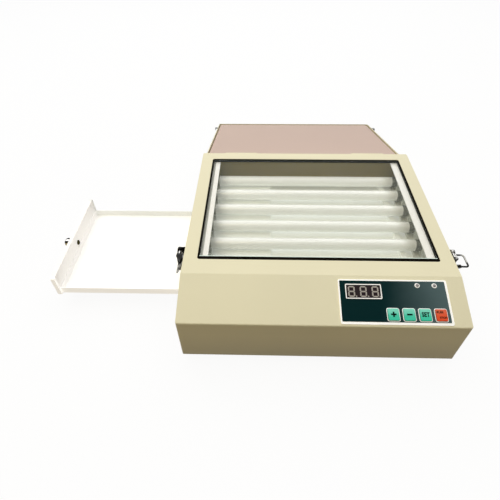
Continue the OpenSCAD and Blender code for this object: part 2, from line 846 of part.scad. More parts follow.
// A key cap with its stem, resting just above the film
module key_cap(i) {
    low = face_w + key_lift;
    stem_low = -board_gap + tact_h + key_lift;
    collar_r = stem_d / 2 + 1;
    collar_low = -1.2;
    collar_h = 1.15;
    on_slope() translate([key_x0 + i * key_pitch, key_s, 0]) {
        translate([0, 0, low]) linear_extrude(key_rise) polygon(even_box(key_w, key_h, key_r));
        translate([0, 0, stem_low]) cylinder(h = low - stem_low + eps, r = stem_d / 2);
        translate([0, 0, collar_low]) cylinder(h = collar_h, r = collar_r);
    }
}

module plus_key() {
    color([0.45, 0.75, 0.68]) key_cap(0);
}
module minus_key() {
    color([0.45, 0.75, 0.68]) key_cap(1);
}
module set_key() {
    color([0.45, 0.75, 0.68]) key_cap(2);
}
module run_key() {
    color([0.8, 0.38, 0.25]) key_cap(3);
}

// Appliance inlet with its socket open to the rear
module mains_inlet() {
    flange_t = 2.5;
    socket_w = 24;
    socket_h = 16.4;
    socket_depth = 17;
    socket_pts = box_points(-socket_w / 2, -socket_h / 2, socket_w / 2, socket_h / 2);
    flange_r = 4;
    color([0.12, 0.12, 0.12]) translate([inlet_x, 0, rear_z]) difference() {
        union() {
            along_y(y_back, y_back + flange_t) polygon(even_box(inlet_w, inlet_h, flange_r));
            along_y(y_back - inlet_depth, y_back + eps) polygon(even_box(inlet_body_w, inlet_body_h, 2));
        }
        along_y(y_back + flange_t - socket_depth, y_back + flange_t + cut)
            polygon(rounded(socket_pts, [5, 5, 1, 1]));
        for (dx = [-inlet_screws / 2, inlet_screws / 2])
            translate([dx, 0, 0]) rod_y(y_back - cut, y_back + cut, screw_d / 2 + fit_gap);
        for (dx = pin_steps) translate([dx, 0, pin_height(dx)])
            along_y(y_back - inlet_depth - cut, y_back - cut)
                square([pin_w + 2 * fit_gap, pin_tall + 2 * fit_gap], center = true);
    }
}

module inlet_pins() {
    y0 = y_back - inlet_depth - 4;
    color("silver") for (dx = pin_steps) translate([inlet_x + dx, 0, rear_z + pin_height(dx)])
        along_y(y0, y0 + inlet_depth) square([pin_w, pin_tall], center = true);
}

// Panel fuse holder with its screw cap
module fuse_holder() {
    depth = 24;
    collar_t = 2;
    cap_end = 9;
    slot_depth = 1.2;
    color([0.13, 0.13, 0.13]) translate([fuse_x, 0, rear_z]) {
        rod_y(y_back - depth, y_back + eps, fuse_d / 2);
        rod_y(y_back, y_back + collar_t, fuse_cap_d / 2);
        difference() {
            rod_y(y_back + collar_t - eps, y_back + cap_end, fuse_d / 2 - 0.5);
            translate([-fuse_d, y_back + cap_end - slot_depth, -slot_depth / 2])
                cube([2 * fuse_d, cut, slot_depth]);
        }
    }
}

// Frame of the mains switch, open to the rear
module switch_frame() {
    flange_t = 2;
    well_depth = 8;
    well_w = switch_body_w - 2 * switch_wall;
    well_h = switch_body_h - 2 * switch_wall;
    color([0.1, 0.1, 0.1]) translate([switch_x, 0, rear_z]) difference() {
        union() {
            along_y(y_back, y_back + flange_t) polygon(even_box(switch_w, switch_h, 1.2));
            along_y(y_back - switch_depth, y_back + eps) polygon(even_box(switch_body_w, switch_body_h, 1));
        }
        translate([-well_w / 2, y_back - well_depth, -well_h / 2]) cube([well_w, well_depth + cut, well_h]);
    }
}

// Rocker of the mains switch: two shallow faces that meet over its pivot, pressed at its left side
module switch_rocker() {
    half = switch_body_w / 2 - 1.9;
    wide = switch_body_h - 2 * switch_wall - 0.6;
    side = [[half, 3.2], [half, -0.8], [2, -5]];
    color([0.7, 0.1, 0.08]) translate([switch_x, y_back + 0.5, rear_z - wide / 2]) rotate([0, 0, rocker_tilt])
        linear_extrude(wide) polygon(concat([[0, 1.8]], side,
            [for (i = [len(side) - 1:-1:0]) [-side[i].x, side[i].y]]));
}

module rear_screws() {
    color("silver") inlet_screw_places() translate([0, 0, 2.5]) pan_screw(6.5);
}

module case_rivets() {
    color("silver") {
        latch_rivet_places() translate([0, 0, base_t]) rivet(base_t + sheet + 0.5);
        case_hinge_rivet_places() translate([0, 0, leaf_t]) rivet(leaf_t + sheet + 0.5);
    }
}

// Base of a right-hand latch: a plate on the side wall with two ears and the lever's pin
module latch_base() {
    ear_r = 3.4;
    root = 4;
    color("silver") translate([x_right, latch_row_y, 0]) {
        difference() {
            along_x(0, base_t) polygon(rounded(
                box_points(-base_w / 2, base_z0, base_w / 2, base_z1), even_corners(2)));
            for (dz = base_rivets) translate([0, 0, base_z0 + dz]) rod_x(-cut, cut, rivet_d / 2);
        }
        for (side = [-1, 1]) mirror([0, side < 0 ? 1 : 0, 0])
            translate([0, ear_in, 0]) difference() {
                along_y(0, ear_t) {
                    polygon([[base_t - eps, latch_z - root], [latch_out, latch_z - ear_r],
                        [latch_out, latch_z + ear_r], [base_t - eps, latch_z + root]]);
                    translate([latch_out, latch_z]) circle(r = ear_r);
                }
                translate([latch_out, 0, latch_z]) rod_y(-cut, cut, axle_r + 0.05);
            }
        translate([latch_out, 0, latch_z]) rod_y(-ear_in - ear_t - 0.1, ear_in + ear_t + 0.1, axle_r);
    }
}

// Lever of a right-hand latch, closed against its base: a channel that narrows to a lifted finger tab
module latch_lever() {
    tail_z = latch_z - lever_len;
    top_r = 3.2;
    low_r = 2.6;
    cheek_z = loop_z - 12;
    cheek_x = lever_back + lever_wall / 2;
    tab_out = 3;
    tab_rise = 6;
    color("gainsboro") translate([x_right, latch_row_y, 0]) {
        for (side = [-1, 1]) mirror([0, side < 0 ? 1 : 0, 0]) difference() {
            along_y(lever_w / 2 - lever_wall, lever_w / 2) {
                translate([latch_out, latch_z]) circle(r = top_r);
                translate([loop_x, loop_z]) circle(r = low_r);
                polygon([[latch_out - top_r, latch_z], [loop_x - low_r, loop_z], [lever_back - 1, cheek_z],
                    [cheek_x, cheek_z], [cheek_x, latch_z]]);
            }
            translate([latch_out, 0, latch_z]) rod_y(-cut, 2 * cut, axle_r + run_gap);
            translate([loop_x, 0, loop_z]) rod_y(-cut, 2 * cut, loop_wire / 2 + run_gap);
        }
        along_y(-lever_w / 2, lever_w / 2) polygon([
            [lever_back, latch_z], [lever_back, tail_z + tab_rise], [lever_back + tab_out, tail_z],
            [lever_back + tab_out + lever_wall, tail_z], [lever_back + lever_wall, tail_z + tab_rise + 0.3],
            [lever_back + lever_wall, latch_z]
        ]);
    }
}

// Turns children of a right-hand latch about the loop's pivot, from upright to an angle above level
module loop_at(angle) {
    translate([x_right + loop_x, latch_row_y, loop_z]) rotate([0, 90 - angle, 0]) children();
}

// Wire loop standing up from its pivot: two legs, a bar across the top and inturned ends
module loop_wire_form() {
    r = loop_wire / 2;
    bend = 3;
    half = loop_w / 2;
    inner = lever_w / 2 - lever_wall - 0.2;
    for (side = [0, 1]) mirror([0, side, 0]) {
        translate([0, half, 0]) sphere(r = r);
        rod_y(inner, half, r);
        translate([0, half, 0]) cylinder(h = loop_len - bend, r = r);
        translate([0, half - bend, loop_len - bend]) rotate([0, 90, 0]) rotate([0, 0, 90])
            rotate_extrude(angle = 90) translate([bend, 0]) circle(r = r, $fn = 16);
    }
    translate([0, 0, loop_len]) rod_y(-half + bend, half - bend, r);
}

module right_latch_loop() {
    color("silver") loop_at(right_loop_angle) loop_wire_form();
}
module left_latch_loop() {
    color("silver") mirror([1, 0, 0]) loop_at(left_loop_angle) loop_wire_form();
}

// Rings of a coil spring round the z axis, and the tube that joins them
spring_rings = 8;
spring_sides = 6;
function spring_centre(i) = let (t = i / spring_rings, r = (spring_od - spring_wire) / 2)
    [r * cos(360 * t), r * sin(360 * t), spring_start + spring_wire / 2 + spring_pitch * t];
function spring_ring(i) = let (t = i / spring_rings, c = spring_centre(i), r = spring_wire / 2)
    [for (k = [0:spring_sides - 1]) let (a = 360 * k / spring_sides)
        c + r * cos(a) * [cos(360 * t), sin(360 * t), 0] + [0, 0, r * sin(a)]];
spring_last = spring_turns * spring_rings;
spring_least_gap = min([for (i = [0:spring_last], j = [i + spring_rings / 2:1:spring_last])
    norm(spring_centre(i) - spring_centre(j))]) - spring_wire;
echo(str("least gap of a coil spring to itself, mm: ", spring_least_gap));
module coil_spring() {
    last = spring_last;
    points = [for (i = [0:last]) each spring_ring(i)];
    sides = [for (i = [0:last - 1], k = [0:spring_sides - 1])
        let (a = i * spring_sides + k, b = i * spring_sides + (k + 1) % spring_sides)
        each [[a, b, b + spring_sides], [a, b + spring_sides, a + spring_sides]]];
    start_cap = [for (k = [1:spring_sides - 2]) [0, k + 1, k]];
    end_cap_faces = [for (k = [1:spring_sides - 2])
        [last * spring_sides, last * spring_sides + k, last * spring_sides + k + 1]];
    polyhedron(points = points, faces = concat(sides, start_cap, end_cap_faces));
}

module loop_springs() {
    for (side = [-1, 1]) translate([0, side * loop_w / 2, 0]) coil_spring();
}
module right_loop_springs() {
    color("lightgray") loop_at(right_loop_angle) loop_springs();
}
module left_loop_springs() {
    color("lightgray") mirror([1, 0, 0]) loop_at(left_loop_angle) loop_springs();
}

// Bounds along the hinge of knuckle k, counted from 0
knuckle_len = hinge_len / knuckles;
function knuckle_span(k) = [k * knuckle_len, (k + 1) * knuckle_len] - [hinge_len, hinge_len] / 2;

// Knuckles and tongues of one leaf: first is 0 for the case's and 1 for the lid's, up is the leaf's side
module knuckle_row(first, up) {
    reach = up * (knuckle_d / 2 + leaf_gap + fit_gap);
    for (k = [first:2:knuckles - 1]) let (span = knuckle_span(k) + [fit_gap, -fit_gap])
        translate([0, hinge_y, hinge_z]) difference() {
            along_x(span[0], span[1]) {
                circle(r = knuckle_d / 2);
                polygon(box_points(-hinge_back, 0, -hinge_back + leaf_t, reach));
            }
            rod_x(-hinge_len, hinge_len, pin_d / 2 + run_gap);
        }
}

module leaf_plate(z0, z1) {
    translate([-hinge_len / 2, y_back, z0]) cube([hinge_len, leaf_t, z1 - z0]);
}

module hinge_case_leaves() {
    leaf_top = hinge_z - knuckle_d / 2 - leaf_gap;
    color("wheat") for (side = [-1, 1]) difference() {
        translate([side * hinge_x, 0, 0]) {
            leaf_plate(case_leaf_z, leaf_top);
            knuckle_row(0, -1);
        }
        case_hinge_rivet_places() cylinder(h = 2 * cut, r = rivet_d / 2, center = true);
    }
}

module hinge_pins() {
    color("silver") for (side = [-1, 1]) translate([side * hinge_x, hinge_y, hinge_z])
        rod_x(-hinge_len / 2, hinge_len / 2, pin_d / 2);
}

// Turns children, drawn on the closed lid, back to where the open lid lies
module lid_laid_back() {
    translate([0, hinge_y, hinge_z]) rotate([-lid_open, 0, 0]) translate([0, -hinge_y, -hinge_z]) children();
}

function lid_side(inset, z_low) =
    let (y0 = y_back - lid_len + inset, y1 = y_back - inset, r = max(bend_r - inset, 0.4))
    rounded(box_points(y0, z_low, y1, lid_z1 - inset), [0, 0, r, r]);
function lid_plan(inset) = let (r = max(lid_r - inset, 0.5), w = lid_w / 2 - inset)
    rounded(box_points(-w, y_back - lid_len + inset, w, y_back - inset), [r, r, r, r]);

// Sheet-metal pan of the lid, open downwards when it is closed
module lid_pan() {
    color("wheat") lid_laid_back() difference() {
        intersection() {
            slab(lid_z0, lid_z1) polygon(lid_plan(0));
            along_x(-lid_w / 2, lid_w / 2) polygon(lid_side(0, lid_z0));
        }
        slab(lid_z0 - cut, lid_z1 - sheet) polygon(lid_plan(sheet));
        lid_hinge_rivet_places() cylinder(h = 2 * cut, r = rivet_d / 2, center = true);
        catch_rivet_places() cylinder(h = 2 * cut, r = rivet_d / 2, center = true);
    }
}

// Foam pad that fills the pan, rounded at the edge of its face
module lid_pad() {
    inset = sheet + pad_gap;
    x1 = lid_w / 2 - inset;
    z0 = lid_z0 + 0.1;
    z1 = lid_z1 - sheet;
    edges = [pad_edge, pad_edge, 0, 0];
    color([0.82, 0.72, 0.68]) lid_laid_back() intersection() {
        slab(z0, z1) polygon(lid_plan(inset));
        along_x(-x1, x1)
            polygon(rounded(box_points(y_back - lid_len + inset, z0, y_back - inset, z1), edges));
        along_y(y_back - lid_len, y_back) polygon(rounded(box_points(-x1, z0, x1, z1), edges));
    }
}

module hinge_lid_leaves() {
    color("wheat") lid_laid_back() for (side = [-1, 1]) difference() {
        translate([side * hinge_x, 0, 0]) {
            leaf_plate(hinge_z + knuckle_d / 2 + leaf_gap, lid_leaf_z);
            knuckle_row(1, 1);
        }
        lid_hinge_rivet_places() cylinder(h = 2 * cut, r = rivet_d / 2, center = true);
    }
}

module lid_rivets() {
    color("silver") lid_laid_back() {
        lid_hinge_rivet_places() translate([0, 0, leaf_t]) rivet(leaf_t + sheet);
        catch_rivet_places() translate([0, 0, catch_t]) rivet(catch_t + sheet);
    }
}

// Plates on the lid's side walls, each with a narrower hook that takes the bar of a latch loop
module lid_catches() {
    x1 = lid_w / 2;
    x2 = x1 + catch_t;
    r = loop_wire / 2 + 0.1;
    floor_z = bar_z - r;
    lip_x = bar_x + r;
    top = lid_z1 - catch_top_drop;
    color("silver") lid_laid_back() right_and_left() translate([0, latch_row_y, 0]) difference() {
        union() {
            along_y(-catch_w / 2, catch_w / 2) polygon(box_points(x1, floor_z + 1, x2, top));
            along_y(-hook_w / 2, hook_w / 2) polygon([
                [x1, floor_z - catch_t], [lip_x + catch_t, floor_z - catch_t],
                [lip_x + catch_t, bar_z + r + catch_t], [lip_x, bar_z + r + catch_t], [lip_x, floor_z],
                [x2, floor_z], [x2, top], [x1, top]
            ]);
        }
        for (dy = [-catch_rivet_step, catch_rivet_step])
            translate([0, dy, lid_z0 + catch_rivet_rise]) rod_x(x1 - cut, x2 + cut, rivet_d / 2);
    }
}

// Shallow tray of the drawer, drawn pulled out
module drawer_tray() {
    r = 2;
    outer = box_points(tray_x0, tray_y0, tray_x0 + tray_len, tray_y1);
    inner = box_points(tray_x0 + tray_t, tray_y0 + tray_t, tray_x0 + tray_len - tray_t, tray_y1 - tray_t);
    color("white") difference() {
        slab(tray_z, tray_z + tray_h) polygon(rounded(outer, [0, r, r, 0]));
        slab(tray_z + tray_t, tray_z + tray_h + cut) polygon(rounded(inner, [0, r / 2, r / 2, 0]));
    }
}

// Front panel of the drawer with its edge folded outwards, away from the case
module drawer_front() {
    x1 = tray_x0;
    y0 = drawer_y - drawer_front_w / 2;
    y1 = drawer_y + drawer_front_w / 2;
    z0 = drawer_front_z;
    z1 = drawer_front_z + drawer_front_h;
    t = drawer_front_t;
    outer = rounded(box_points(y0, z0, y1, z1), even_corners(2));
    inner = rounded(box_points(y0 + t, z0 + t, y1 - t, z1 - t), even_corners(1));
    color("white") difference() {
        along_x(x1 - drawer_fold, x1) polygon(outer);
        along_x(x1 - drawer_fold - cut, x1 - t) polygon(inner);
        translate([0, drawer_y, knob_z]) rod_x(x1 - cut, x1 + cut, screw_d / 2);
    }
}

// Turned knob on the drawer's front
module drawer_knob() {
    r = knob_d / 2;
    neck = 3.4;
    x0 = tray_x0 - drawer_front_t;
    color("silver") translate([x0, drawer_y, knob_z]) rotate([0, -90, 0]) rotate_extrude()
        polygon([
            [0, 0], [neck + 1.4, 0], [neck + 1.2, 1], [neck, 2.2], [neck, 6], [neck + 1, 7.6],
            [r - 0.6, 9], [r, 10.8], [r, 13.2], [r - 0.9, 15.2], [r - 2.6, 16.6], [r - 4.4, 17], [0, 17]
        ]);
}

module knob_screw() {
    head_r = 3.5;
    head_h = 1.6;
    shank_r = screw_d / 2 - fit_gap;
    low = -drawer_front_t + fit_gap;
    color("silver") translate([tray_x0, drawer_y, knob_z]) rotate([0, 90, 0]) difference() {
        rotate_extrude() polygon([
            [0, low], [shank_r, low], [shank_r, 0], [head_r, 0], [head_r, head_h * 0.4],
            [head_r * 0.7, head_h], [0, head_h]
        ]);
        for (turn = [0, 90]) rotate(turn) translate([-1.8, -0.4, head_h - 0.8]) cube([3.6, 0.8, 2]);
    }
}

case_shell();
bottom_plate();
case_screws();
rubber_feet();
glass_gasket();
glass_plate();
glass_ledges();
reflector_tray();
rear_baffle();
reflector_covers();
ballasts();
uv_tube(1);  // uv_tube_1
uv_tube(2);  // uv_tube_2
uv_tube(3);  // uv_tube_3
uv_tube(4);  // uv_tube_4
uv_tube(5);  // uv_tube_5
uv_tube(6);  // uv_tube_6
tube_caps();
lamp_holders();
drawer_runners();
control_plate();
control_film();
display_bezel();
display_module();
display_digits();
led_lenses();
led_rings();
control_board();
board_parts();
mains_inlet();
inlet_pins();
fuse_holder();
switch_frame();
rear_screws();
case_rivets();
mirror([1, 0, 0]) latch_base();  // left_latch_base
latch_base();  // right_latch_base
hinge_case_leaves();
hinge_pins();
lid_pan();
lid_pad();
hinge_lid_leaves();
lid_rivets();
lid_catches();
drawer_tray();
drawer_front();
drawer_knob();
knob_screw();
mirror([1, 0, 0]) latch_lever();  // left_latch_lever
latch_lever();  // right_latch_lever
left_latch_loop();
right_latch_loop();
left_loop_springs();
right_loop_springs();
plus_key();
minus_key();
set_key();
run_key();
switch_rocker();
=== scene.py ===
# %% [markdown]
# # A bench exposure unit for screen printing
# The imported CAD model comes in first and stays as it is: every node already has its
# real size and place. This lesson adds the camera, the finishes, a few soft or fine
# pieces that solids can't give, and plain studio light. All lengths are in metres.

import json
import math

import bpy
import numpy as np
from mathutils import Matrix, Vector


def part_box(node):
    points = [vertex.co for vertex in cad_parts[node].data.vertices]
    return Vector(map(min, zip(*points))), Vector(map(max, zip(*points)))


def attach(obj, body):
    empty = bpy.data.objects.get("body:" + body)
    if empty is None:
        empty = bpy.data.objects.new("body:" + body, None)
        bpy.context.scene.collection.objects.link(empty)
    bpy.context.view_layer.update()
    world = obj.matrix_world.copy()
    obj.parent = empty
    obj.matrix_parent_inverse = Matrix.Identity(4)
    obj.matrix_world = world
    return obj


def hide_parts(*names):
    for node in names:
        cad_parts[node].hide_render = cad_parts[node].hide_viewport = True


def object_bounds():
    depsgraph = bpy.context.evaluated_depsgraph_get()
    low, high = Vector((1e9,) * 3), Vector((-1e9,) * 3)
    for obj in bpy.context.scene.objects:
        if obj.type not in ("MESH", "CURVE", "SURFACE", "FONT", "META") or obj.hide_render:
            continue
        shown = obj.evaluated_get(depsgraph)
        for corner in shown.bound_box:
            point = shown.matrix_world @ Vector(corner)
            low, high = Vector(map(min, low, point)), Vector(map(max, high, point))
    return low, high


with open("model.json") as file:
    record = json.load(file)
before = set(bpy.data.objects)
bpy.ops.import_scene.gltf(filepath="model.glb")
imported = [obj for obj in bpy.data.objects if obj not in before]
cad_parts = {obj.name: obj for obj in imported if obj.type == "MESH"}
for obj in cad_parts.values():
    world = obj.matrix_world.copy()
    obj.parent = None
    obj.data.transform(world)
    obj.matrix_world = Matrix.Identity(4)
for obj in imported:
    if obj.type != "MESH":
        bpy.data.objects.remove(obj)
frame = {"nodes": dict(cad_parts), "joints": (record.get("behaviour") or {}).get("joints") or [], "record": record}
CAD_BOX = [list(corner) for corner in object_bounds()]
print("CAD box:", CAD_BOX)

# %% [markdown]
# ## The camera
# The photograph was taken from above the front of the case, a little to the left of its
# middle. Its place and turn were worked out from the case's corners, and a focal length
# in pixels becomes a lens in millimetres once the sensor's width is known.

# %% Camera
IMAGE_WIDTH = 500
FOCAL_PIXELS = 400.615
CAMERA_AT = (-0.06890, -0.39971, 0.42917)
CAMERA_RIGHT = (0.99963948, 0.02517999, -0.00932133)
CAMERA_UP = (-0.01148776, 0.71487964, 0.69915316)
CAMERA_BACK = (0.0242683, -0.69879402, 0.71491117)

camera_data = bpy.data.cameras.new("camera")
camera_data.lens = FOCAL_PIXELS / IMAGE_WIDTH * camera_data.sensor_width
camera_data.clip_start = 0.01
camera = bpy.data.objects.new("camera", camera_data)
bpy.context.collection.objects.link(camera)
camera.matrix_world = Matrix([
    [CAMERA_RIGHT[i], CAMERA_UP[i], CAMERA_BACK[i], CAMERA_AT[i]] for i in range(3)
] + [[0, 0, 0, 1]])
bpy.context.scene.camera = camera
bpy.context.scene.view_settings.view_transform = "Standard"
print("lens, mm:", round(camera_data.lens, 2))

# %% [markdown]
# ## Shader maths as Python
# A material is a web of small nodes. Writing the web as sums keeps it short: a `Shade`
# is one value on its way through the material, and `+`, `-`, `*` or `/` on it adds
# the Math node that does the same for every point of the surface.

# %% The Shade class
class Shade:
    """One value of a material: arithmetic on it adds Math nodes, and node() adds any other."""

    def __init__(self, tree, socket):
        self.tree, self.socket = tree, socket

    def node(self, kind, settings, inputs, output=0):
        """Adds a node of that kind, sets its settings first, then fills its sockets."""
        made = self.tree.nodes.new(kind)
        for name, value in settings.items():
            if name == "stops":
                ramp = made.color_ramp.elements
                for i, (place, grey) in enumerate(value):
                    stop = ramp[i] if i < 2 else ramp.new(place)
                    stop.position, stop.color = place, (grey, grey, grey, 1)
            else:
                setattr(made, name, value)
        for name, value in inputs.items():
            feed(self.tree, made.inputs[name], value)
        return Shade(self.tree, made.outputs[output])

    def _math(self, operation, a, b):
        return self.node("ShaderNodeMath", {"operation": operation}, {0: a, 1: b})

    def __add__(self, other):
        return self._math("ADD", self, other)

    def __sub__(self, other):
        return self._math("SUBTRACT", self, other)

    def __rsub__(self, other):
        return self._math("SUBTRACT", other, self)

    def __mul__(self, other):
        return self._math("MULTIPLY", self, other)

    def __truediv__(self, other):
        return self._math("DIVIDE", self, other)

    def __gt__(self, other):
        return self._math("GREATER_THAN", self, other)

    def __abs__(self):
        return self._math("ABSOLUTE", self, 0.0)

    __radd__, __rmul__ = __add__, __mul__


def feed(tree, socket, value):
    """Links a Shade to a socket, or sets the socket to a number, vector or colour."""
    if isinstance(value, Shade):
        tree.links.new(value.socket, socket)
    elif socket.type == "RGBA" and len(value) == 3:
        socket.default_value = (*value, 1.0)
    else:
        socket.default_value = value


def srgb(red, green, blue):
    """The light that a screen gives for 0 to 255 values: each is raised to the power 2.4."""
    parts = np.array([red, green, blue]) / 255
    light = np.where(parts > 0.04045, ((parts + 0.055) / 1.055) ** 2.4, parts / 12.92)
    return tuple(float(c) for c in light)


def start_finish(name):
    """A new material: returns it and the surface's own place in metres as a Shade."""
    material = bpy.data.materials.new(name)
    material.use_nodes = True
    place = material.node_tree.nodes.new("ShaderNodeTexCoord").outputs["Object"]
    return material, Shade(material.node_tree, place)


def end_finish(material, **sockets):
    """Fills the Principled shader's sockets, whose names are written with _ for a space."""
    shader = material.node_tree.nodes["Principled BSDF"]
    for name, value in sockets.items():
        feed(material.node_tree, shader.inputs[name.replace("_", " ")], value)
    return material


def noise(place, scale, detail=2.0):
    """Soft random values round 0.5 that change over about 1 / scale metres."""
    return place.node("ShaderNodeTexNoise", {}, {"Vector": place, "Scale": scale, "Detail": detail})


def blended(amount, low, high):
    """Colour low where amount is 0 and high where it is 1."""
    return amount.node("ShaderNodeMix", {"data_type": "RGBA"}, {0: amount, 6: low, 7: high}, output=2)


def fading(value, start, end, low=1.0, high=0.0, kind="SMOOTHSTEP"):
    """Low where value is at most start and high from end on, with a soft or a LINEAR change between."""
    return value.node("ShaderNodeMapRange", {"interpolation_type": kind}, {
        "Value": value, "From Min": start, "From Max": end, "To Min": low, "To Max": high})


def bumps(height, depth, strength=1.0):
    """A normal tilted by a height that runs from 0 to 1 over depth metres."""
    return height.node("ShaderNodeBump", {}, {"Height": height, "Distance": depth, "Strength": strength})


def scaled(colour, factor, plus=0.0):
    """A colour times a factor, plus a little grey, and at most white."""
    return tuple(min(c * factor + plus, 1.0) for c in colour)


def along(place, axis):
    """One coordinate, 0 for x, 1 for y and 2 for z, of a place."""
    return place.node("ShaderNodeSeparateXYZ", {}, {0: place}, output=axis)


FINISH = {}

# %% [markdown]
# ## Powder coat
# The case and lid are sheet steel under a cream powder coat. The powder melts into a
# skin with tiny dimples, like orange peel, and with slow changes of tone where it lies
# thicker. Two noises do this: a fine one tilts the normal, and a wide one moves the
# colour and the gloss by a few percent. The case is painted darker towards its foot, as
# painted shade, and the white paints get a faint glow as painted light.

# %% Cream powder coat
FOOT_SHADE_TOP = 0.042


def powder_coat(name, colour, peel_size, peel_depth, gloss, painted_glow=0.0, foot_shade=0.0):
    """Paint with dimples peel_size wide and peel_depth deep. whitener is painted light: the strength of
    a glow in the paint's own colour, which lifts white paints in the shade. grime is painted shade: the
    share of a deeper, darker tone at the foot of the case, and it fades out at FOOT_SHADE_TOP."""
    material, place = start_finish(name)
    cloudy = noise(place, 9.0, 3.0)
    peel = noise(place, 1 / peel_size, 1.5)
    coat = blended(cloudy, scaled(colour, 0.93), scaled(colour, 1.05))
    # Painted shade: the paint darkens towards the foot of the case.
    if foot_shade:
        foot = fading(along(place, 2), 0.0, FOOT_SHADE_TOP, foot_shade, 0.0, "LINEAR")
        coat = blended(foot, coat, tuple(c * c * 0.3 for c in colour))
    return end_finish(
        material, Base_Color=coat,
        Roughness=gloss + cloudy * 0.08 + peel * 0.05, Normal=bumps(peel, peel_depth, 0.6),
        Specular_IOR_Level=0.45, Emission_Color=colour, Emission_Strength=painted_glow)


FINISH["cream_paint"] = powder_coat("cream_paint", srgb(230, 224, 193), 0.0016, 0.00012, 0.42, foot_shade=0.26)
# Olive paint for the rear wall of the lamp box: a dark tone that is painted shade.
FINISH["olive_paint"] = powder_coat("olive_paint", srgb(139, 121, 62), 0.002, 0.0001, 0.5)
# The reflector's white glows a little: painted light.
FINISH["reflector_white"] = powder_coat(
    "reflector_white", srgb(238, 240, 234), 0.003, 0.00004, 0.45, painted_glow=0.12)

TRAY_LOW, TRAY_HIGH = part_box("drawer_tray")
SHEET = 0.0012
FLOOR_FADE = 0.03
GLOW_ALL, GLOW_FLOOR, GLOW_OUTER = 0.24, 0.2, 0.7


def drawer_enamel():
    """White enamel with painted light and shade. It glows as painted light: GLOW_ALL everywhere, GLOW_FLOOR more
    on the tray's floor, fading in over FLOOR_FADE from the end with the knob as a painted shadow, and GLOW_OUTER
    more on the outer wall that faces the viewer. The inner wall at the rear is a shade greyer, as painted shade."""
    material, place = start_finish("white_paint")
    cloudy = noise(place, 9.0, 3.0)
    peel = noise(place, 330.0, 1.5)
    floor = 1 - (along(place, 2) > TRAY_LOW.z + SHEET * 1.3)
    fade = fading(along(place, 0), TRAY_LOW.x, TRAY_LOW.x + FLOOR_FADE, 0.0, 1.0)
    outer = 1 - (along(place, 1) > TRAY_LOW.y + SHEET * 0.5)
    # Painted shade: the rear inner wall is a shade greyer.
    rear = along(place, 1) > TRAY_HIGH.y - SHEET * 1.5
    # Painted light: the glow lifts the floor and the outer wall, and its fade by the knob end is a painted shadow.
    glow = GLOW_ALL + floor * fade * GLOW_FLOOR + outer * GLOW_OUTER
    return end_finish(
        material, Base_Color=blended(rear, srgb(252, 250, 249), srgb(236, 238, 234)),
        Roughness=0.4 + cloudy * 0.08 + peel * 0.05, Normal=bumps(peel, 0.00005, 0.6),
        Specular_IOR_Level=0.45, Emission_Strength=0.5,
        Emission_Color=blended(glow, (0.0, 0.0, 0.0), (0.985, 0.98, 0.955)))


FINISH["white_paint"] = drawer_enamel()
print("paints:", sorted(FINISH))

# %% [markdown]
# ## Plated and bare metal
# Latches, pins and screws are plated with zinc, and the knob with nickel. A mirror-smooth
# metal looks false, so the plating is slightly uneven: a noise drawn out along one axis
# gives the fine lines that rolling and polishing leave. The polished parts also carry
# painted reflections of a dark and bright room.

# %% Metals
ROOM_DARK = 0.06
ROOM_EDGE = 0.16
STREAK_SHAPE = (1.0, 1.0, 0.3)
TABLE_FADE = 0.006


def plated(name, colour, roughness, line_size, lines_along=0, mirrored=0.0, table=0.0, bright_from=0.42):
    """Metal with fine lines along one axis. Where mirrored isn't 0, the tone is a painted reflection of a
    room that is part dark and part bright: it jumps between the two in upright streaks of a few
    millimetres, and bright_from shares them out. Below the height table, if it isn't 0, only a painted
    reflection of the white table shows."""
    material, place = start_finish(name)
    stretch = [1.0, 1.0, 1.0]
    stretch[lines_along] = 0.06
    drawn = place.node("ShaderNodeVectorMath", {"operation": "MULTIPLY"}, {0: place, 1: tuple(stretch)})
    lines = noise(drawn, 1 / line_size, 2.0)
    # Random stains, replaced by painted reflections of the room where mirrored isn't 0.
    stain_and_reflection = noise(place, 60.0, 2.0)
    if mirrored:
        tall = place.node("ShaderNodeVectorMath", {"operation": "MULTIPLY"}, {0: place, 1: STREAK_SHAPE})
        stain_and_reflection = fading(noise(tall, 1 / mirrored, 0.0), bright_from, bright_from + ROOM_EDGE, 0.0, 1.0)
    if table:
        below = fading(along(place, 2), table - TABLE_FADE, table)
        stain_and_reflection = stain_and_reflection + below * (1 - stain_and_reflection)
    dark = scaled(colour, ROOM_DARK if mirrored else 0.82)
    return end_finish(
        material, Metallic=1.0, Base_Color=blended(stain_and_reflection, dark, colour),
        Roughness=roughness + lines * 0.12 + stain_and_reflection * 0.06, Normal=bumps(lines, 0.00002, 0.4))


# Pairs of place and brightness of the painted reflections up the knob, both from 0 to 1, first the two ends
KNOB_REFLECTION_BANDS = ((0.0, 0.0), (1.0, 0.0), (0.64, 0.0), (0.68, 1.0), (0.78, 1.0), (0.82, 0.0))
KNOB_FOOT = -0.14
KNOB_REFLECTED_DARK, KNOB_REFLECTED_BRIGHT = (0.004, 0.004, 0.004), (0.95, 0.94, 0.9)


